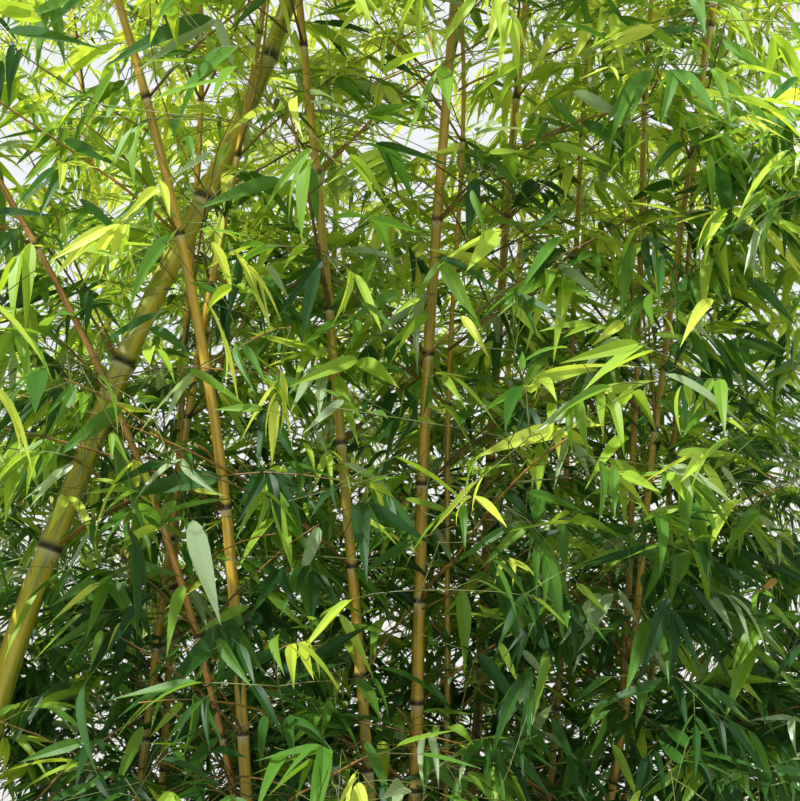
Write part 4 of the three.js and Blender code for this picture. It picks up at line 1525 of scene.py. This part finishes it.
def make_pot():
    body = bpy.data.objects.new("pot_raw", mesh_of("pot_body", turned_shape(pot_profile(), POT_STEPS)))
    drill = bpy.data.objects.new("drain_drill", mesh_of("drain_drill", drain_drills()))
    for thing in (body, drill):
        bpy.context.collection.objects.link(thing)
    cut = body.modifiers.new("drain", "BOOLEAN")
    cut.operation = "DIFFERENCE"
    cut.object = drill
    cut.solver = "EXACT"
    drilled = bpy.data.meshes.new_from_object(body.evaluated_get(bpy.context.evaluated_depsgraph_get()))
    drilled.name = "clay_pot"
    for thing in (body, drill):
        bpy.data.objects.remove(thing)
    shade_smooth(drilled)
    drilled.set_sharp_from_angle(angle=SHARP_ANGLE * DEGREE)
    show(drilled, clay_material(), "pot_clay", "pot")


# Soil: a disc that fills the pot, a little lower at the edge, with crumbs and small swells on top
CRUMB_HEIGHT = 2.2
SWELL_HEIGHT = 2.5
CRUMB_SIZES = (130, 320)
FINE_CRUMBS = 0.6
SWELL_SIZE = 22
SMOOTH_EDGE = 3
ON_TOP = 0.5


def make_soil():
    edge = SOIL_TOP - SOIL_EDGE_DROP
    foot = POT_FOOT_RADIUS - POT_WALL
    wall = blend(foot, POT_INSIDE, (edge - POT_FLOOR) / (POT_HEIGHT - RIM_ROLL[1] - POT_FLOOR)) - 1
    profile = [(0, POT_FLOOR + 1), (foot - 2, POT_FLOOR + 1), (wall, edge)]
    for k in range(1, SOIL_RINGS + 1):
        profile.append((blend(wall, 0, k / SOIL_RINGS), blend(edge, SOIL_TOP, min(1, k / SOIL_EDGE_RINGS))))
    bm = turned_shape(profile, SOIL_STEPS)
    for vert in bm.verts:
        flat = Vector((vert.co.x, vert.co.y, 0))
        if vert.co.z > (edge - ON_TOP) * MM and flat.length < (wall - SMOOTH_EDGE) * MM:
            crumb = noise.noise(flat * CRUMB_SIZES[0]) + FINE_CRUMBS * noise.noise(flat * CRUMB_SIZES[1])
            vert.co.z += (CRUMB_HEIGHT * crumb + SWELL_HEIGHT * noise.noise(flat * SWELL_SIZE)) * MM
    mesh = mesh_of("potting_soil", bm)
    shade_smooth(mesh)
    show(mesh, soil_material(), "soil", "soil")


# Culms: tubes whose nodes have a sheath's scar, a groove and a raised ridge
NODE_CULM = 17
CULM_MEASURES = 60
LONGEST_RING_GAP = 60
CROWDED_BELOW_TIP = 350
NODE_RINGS_SPAN = 26
CROWDED_SHARE = 0.3
CROWDED_ROOM = CROWDED_SHARE * INTERNODE * SHORTEST_INTERNODE / NODE_RINGS_SPAN
SWELL_POWER = 0.8
SKIN_AROUND = 1.4
SKIN_SHIFT = 3.7
STREAK_LENGTH = 260
BIG_CULM_CORNERS = 20
CULM_CORNERS = 10

# Along a culm near a node: distance from the node and swelling of the radius, in mm on a culm of 17 mm,
# darkness of the scar and paleness of the bloom
NODE_RINGS = (
    (-20, 0, 0, 0),
    (-9, 0, 0, 0.2),
    (-3.5, 0.15, 0, 0.6),
    (-1.6, 1.2, 0.8, 0.2),
    (0, 1.7, 1, 0),
    (1.6, 0.5, 1, 0),
    (3.8, 0.5, 0.85, 0),
    (6.5, 1.4, 0.35, 0),
    (10, 0.7, 0, 0.1),
    (17, 0, 0, 0),
)


def node_stations(culm, length):
    """The rings of every node: share of the culm's length, swelling, scar and bloom, crowded at its tip."""
    stations = [(0.0, 0, 0, 0)]
    size = (culm.thickness / NODE_CULM) ** 0.5
    for share in culm.nodes:
        grown = culm.radius(share) / (NODE_CULM / 2)
        room = CROWDED_ROOM if culm.path(share).z > culm.tip.z - CROWDED_BELOW_TIP else 1
        for off, swell, scar, bloom in NODE_RINGS:
            place = share + off * size * room / length
            if stations[-1][0] < place < 1:
                stations.append((place, swell * grown**SWELL_POWER, scar, bloom))
    return [*stations, (1.0, 0, 0, 0)]


def culm_stations(culm, length):
    """The rings of the nodes, with plain ones between them where they stand far apart."""
    nodes = node_stations(culm, length)
    stations = nodes[:1]
    for row in nodes[1:]:
        last = stations[-1][0]
        extra = int((row[0] - last) * length // LONGEST_RING_GAP)
        stations += [(blend(last, row[0], (k + 1) / (extra + 1)), 0, 0, 0) for k in range(extra)]
        stations.append(row)
    return stations


def make_culm(culm, material, sides):
    length = path_length(along_path(culm.path, CULM_MEASURES))
    stations = culm_stations(culm, length)
    thicker = SHOWN_THICKER.get(culm.name, 1)
    points = [culm.path(row[0]) for row in stations]
    radii = [culm.radius(row[0]) * thicker + row[1] for row in stations]
    coords, corners, sizes, ring, around = carried_tube(points, radii, sides)
    heap = Heap()
    heap.add(coords, corners, sizes)
    mesh = heap.mesh(culm.name + "_cane")
    shares, _, scars, blooms = np.array(stations)[ring].T
    for name, values in (("scar", scars), ("bloom", blooms)):
        layer = mesh.attributes.new(name, "FLOAT", "POINT")
        layer.data.foreach_set("value", values.astype(np.float32))
    seed = len(culm.name) * SKIN_SHIFT + culm.thickness
    along = shares * length / STREAK_LENGTH
    skin = np.stack((np.cos(around) * SKIN_AROUND + seed, np.sin(around) * SKIN_AROUND, along + seed), axis=1)
    layer = mesh.attributes.new("skin", "FLOAT_VECTOR", "POINT")
    layer.data.foreach_set("vector", skin.astype(np.float32).ravel())
    show(mesh, material, "culm_skin", culm.name)


def make_culms():
    # Each cane's golden tone and its darker olive one, which is partly painted shade.
    golden_cane = cane_material("golden_cane", "#cba035", "#868030", SCAR_BROWN)
    olive_cane = cane_material("olive_cane", "#c4b234", "#74802a", "#2a2616")
    tawny_cane = cane_material("tawny_cane", "#c08a3a", "#7c5c2a", SCAR_BROWN)
    others = {"culm_big": olive_cane, "culm_arching": tawny_cane}
    for culm in culms:
        sides = BIG_CULM_CORNERS if culm.name == "culm_big" else CULM_CORNERS
        make_culm(culm, others.get(culm.name, golden_cane), sides)


# Branches, shoots and sprigs
RIDGE_HALF_WIDTH = 3
RIDGE_SWELL = 1.42
STRAIGHT_ENOUGH = 0.9
BRANCH_CORNERS = 4
TWIG_CORNERS = 3


def branch_rings(points, thick, thin):
    """A branch with a small ridge at each of its nodes."""
    rings, radii = [], []
    last = len(points) - 1
    for k, point in enumerate(points):
        radius = blend(thick, thin, k / last) / 2
        if 0 < k < last:
            back = (points[k - 1] - point).normalized() * RIDGE_HALF_WIDTH
            ahead = (points[k + 1] - point).normalized() * RIDGE_HALF_WIDTH
            rings += [point + back, point, point + ahead]
            radii += [radius, radius * RIDGE_SWELL, radius]
        else:
            rings.append(point)
            radii.append(radius)
    return rings, radii


def twig_rings(points, thick, thin):
    """A twig without the places that lie as good as straight between their neighbours."""
    rings = [points[0]]
    for point, after in zip(points[1:], points[2:]):
        chord = after - rings[-1]
        if (point - rings[-1]).cross(chord).length / chord.length > STRAIGHT_ENOUGH:
            rings.append(point)
    rings.append(points[-1])
    return rings, [blend(thick, thin, k / (len(rings) - 1)) / 2 for k in range(len(rings))]


def make_limbs(kind, rings_of, sides, material, slot, nodes):
    heap = Heap()
    for limb in growth.limbs[kind]:
        heap.add(*carried_tube(*rings_of(*limb), sides)[:3])
    show(heap.mesh(kind), material, slot, *nodes)


def make_twigs():
    # Each twig's sunny and shady tones are painted sun and shade.
    branch_cane = twig_material("branch_cane", "#97702f", "#5f4a22")
    shoot_cane = twig_material("shoot_cane", "#66722c", "#4c4a22")
    sprig_cane = twig_material("sprig_cane", "#63802e", "#4f5f26")
    boughs = [mass.name.replace("foliage", "bough") for mass in masses if mass.bough]
    foliage = [mass.name for mass in masses]
    make_limbs("branches", branch_rings, BRANCH_CORNERS, branch_cane, "bough_bark", boughs)
    make_limbs("shoots", twig_rings, TWIG_CORNERS, shoot_cane, "foliage", foliage)
    make_limbs("sprigs", twig_rings, TWIG_CORNERS, sprig_cane, "foliage", foliage)


# Where the parts of a leaf's row end: its root, way, across, face and length, before its width and its shape
LEAF_ROW = (3, 6, 9, 12, 13)


def placed_leaves(rows, coords, corners, sizes):
    """The leaves of one shape as joined arrays, with their flat places."""
    root, way, across, face, length, width = np.split(rows[:, None, :-1], LEAF_ROW, axis=2)
    placed = root + across * coords[:, :1] * width + way * coords[:, 1:2] * length
    placed = placed + face * coords[:, 2:] * length
    count = len(rows)
    shift = np.repeat(np.arange(count) * len(coords), len(corners))
    flat = np.tile(coords[:, :2] + (0.5, 0), (count, 1))
    return placed.reshape(-1, 3), np.tile(corners, count) + shift, np.tile(sizes, count), flat


def make_leaves():
    templates = [leaf_template(rows, *bend) for rows in LEAF_OUTLINES for bend in LEAF_BENDS]
    foliage = [mass.name for mass in masses]
    for tone, (blade, glow) in TONES.items():
        rows = np.array(growth.leaves[tone])
        heap = Heap()
        for shape, template in enumerate(templates):
            some = rows[rows[:, -1] == shape]
            if len(some):
                heap.add(*placed_leaves(some, *template))
        show(heap.mesh(tone), leaf_material(tone, blade, glow), "foliage", *foliage)


# Stage: pale floor and soft studio light, each lamp with its strength, its spread in degrees and its side
FLOOR_RADIUS = 60
FLOOR_SIDES = 96
STUDIO_WHITE = "#f7f9fd"
STUDIO_STRENGTH = 0.96
LAMPS = {
    "key": (7.7, 2, (-1.9, -1.1, 3.6)),
    "back": (6.7, 3, (0.8, 2.0, 4.0)),
    "fill": (0.25, 40, (2.5, -4.0, 2.5)),
}
BOUNCES = {"max_bounces": 6, "diffuse_bounces": 3, "glossy_bounces": 2, "transmission_bounces": 4}


def make_floor():
    bm = bmesh.new()
    bmesh.ops.create_circle(bm, cap_ends=True, segments=FLOOR_SIDES, radius=FLOOR_RADIUS)
    floor = bpy.data.objects.new("floor", mesh_of("floor", bm))
    floor.data.materials.append(floor_material())
    bpy.context.collection.objects.link(floor)


def make_light():
    world = bpy.data.worlds.new("studio")
    world.use_nodes = True
    background = world.node_tree.nodes["Background"]
    background.inputs["Color"].default_value = colour(STUDIO_WHITE)
    background.inputs["Strength"].default_value = STUDIO_STRENGTH
    bpy.context.scene.world = world
    for name, (strength, spread, place) in LAMPS.items():
        lamp = bpy.data.lights.new(name, "SUN")
        lamp.energy = strength
        lamp.angle = spread * DEGREE
        light = bpy.data.objects.new(name, lamp)
        light.rotation_mode = "QUATERNION"
        light.rotation_quaternion = Vector(place).to_track_quat("Z", "Y")
        bpy.context.collection.objects.link(light)
    bpy.context.scene.view_settings.view_transform = "Standard"
    for name, count in BOUNCES.items():
        setattr(bpy.context.scene.cycles, name, count)


for index, mass in enumerate(masses):
    grow_mass(mass, index)
for index, culm in enumerate(culms):
    grow_culm_branches(culm, index)
grow_outer()
fill_crown()
fill_sight()

make_pot()
make_soil()
make_culms()
make_twigs()
make_leaves()
make_floor()
make_light()
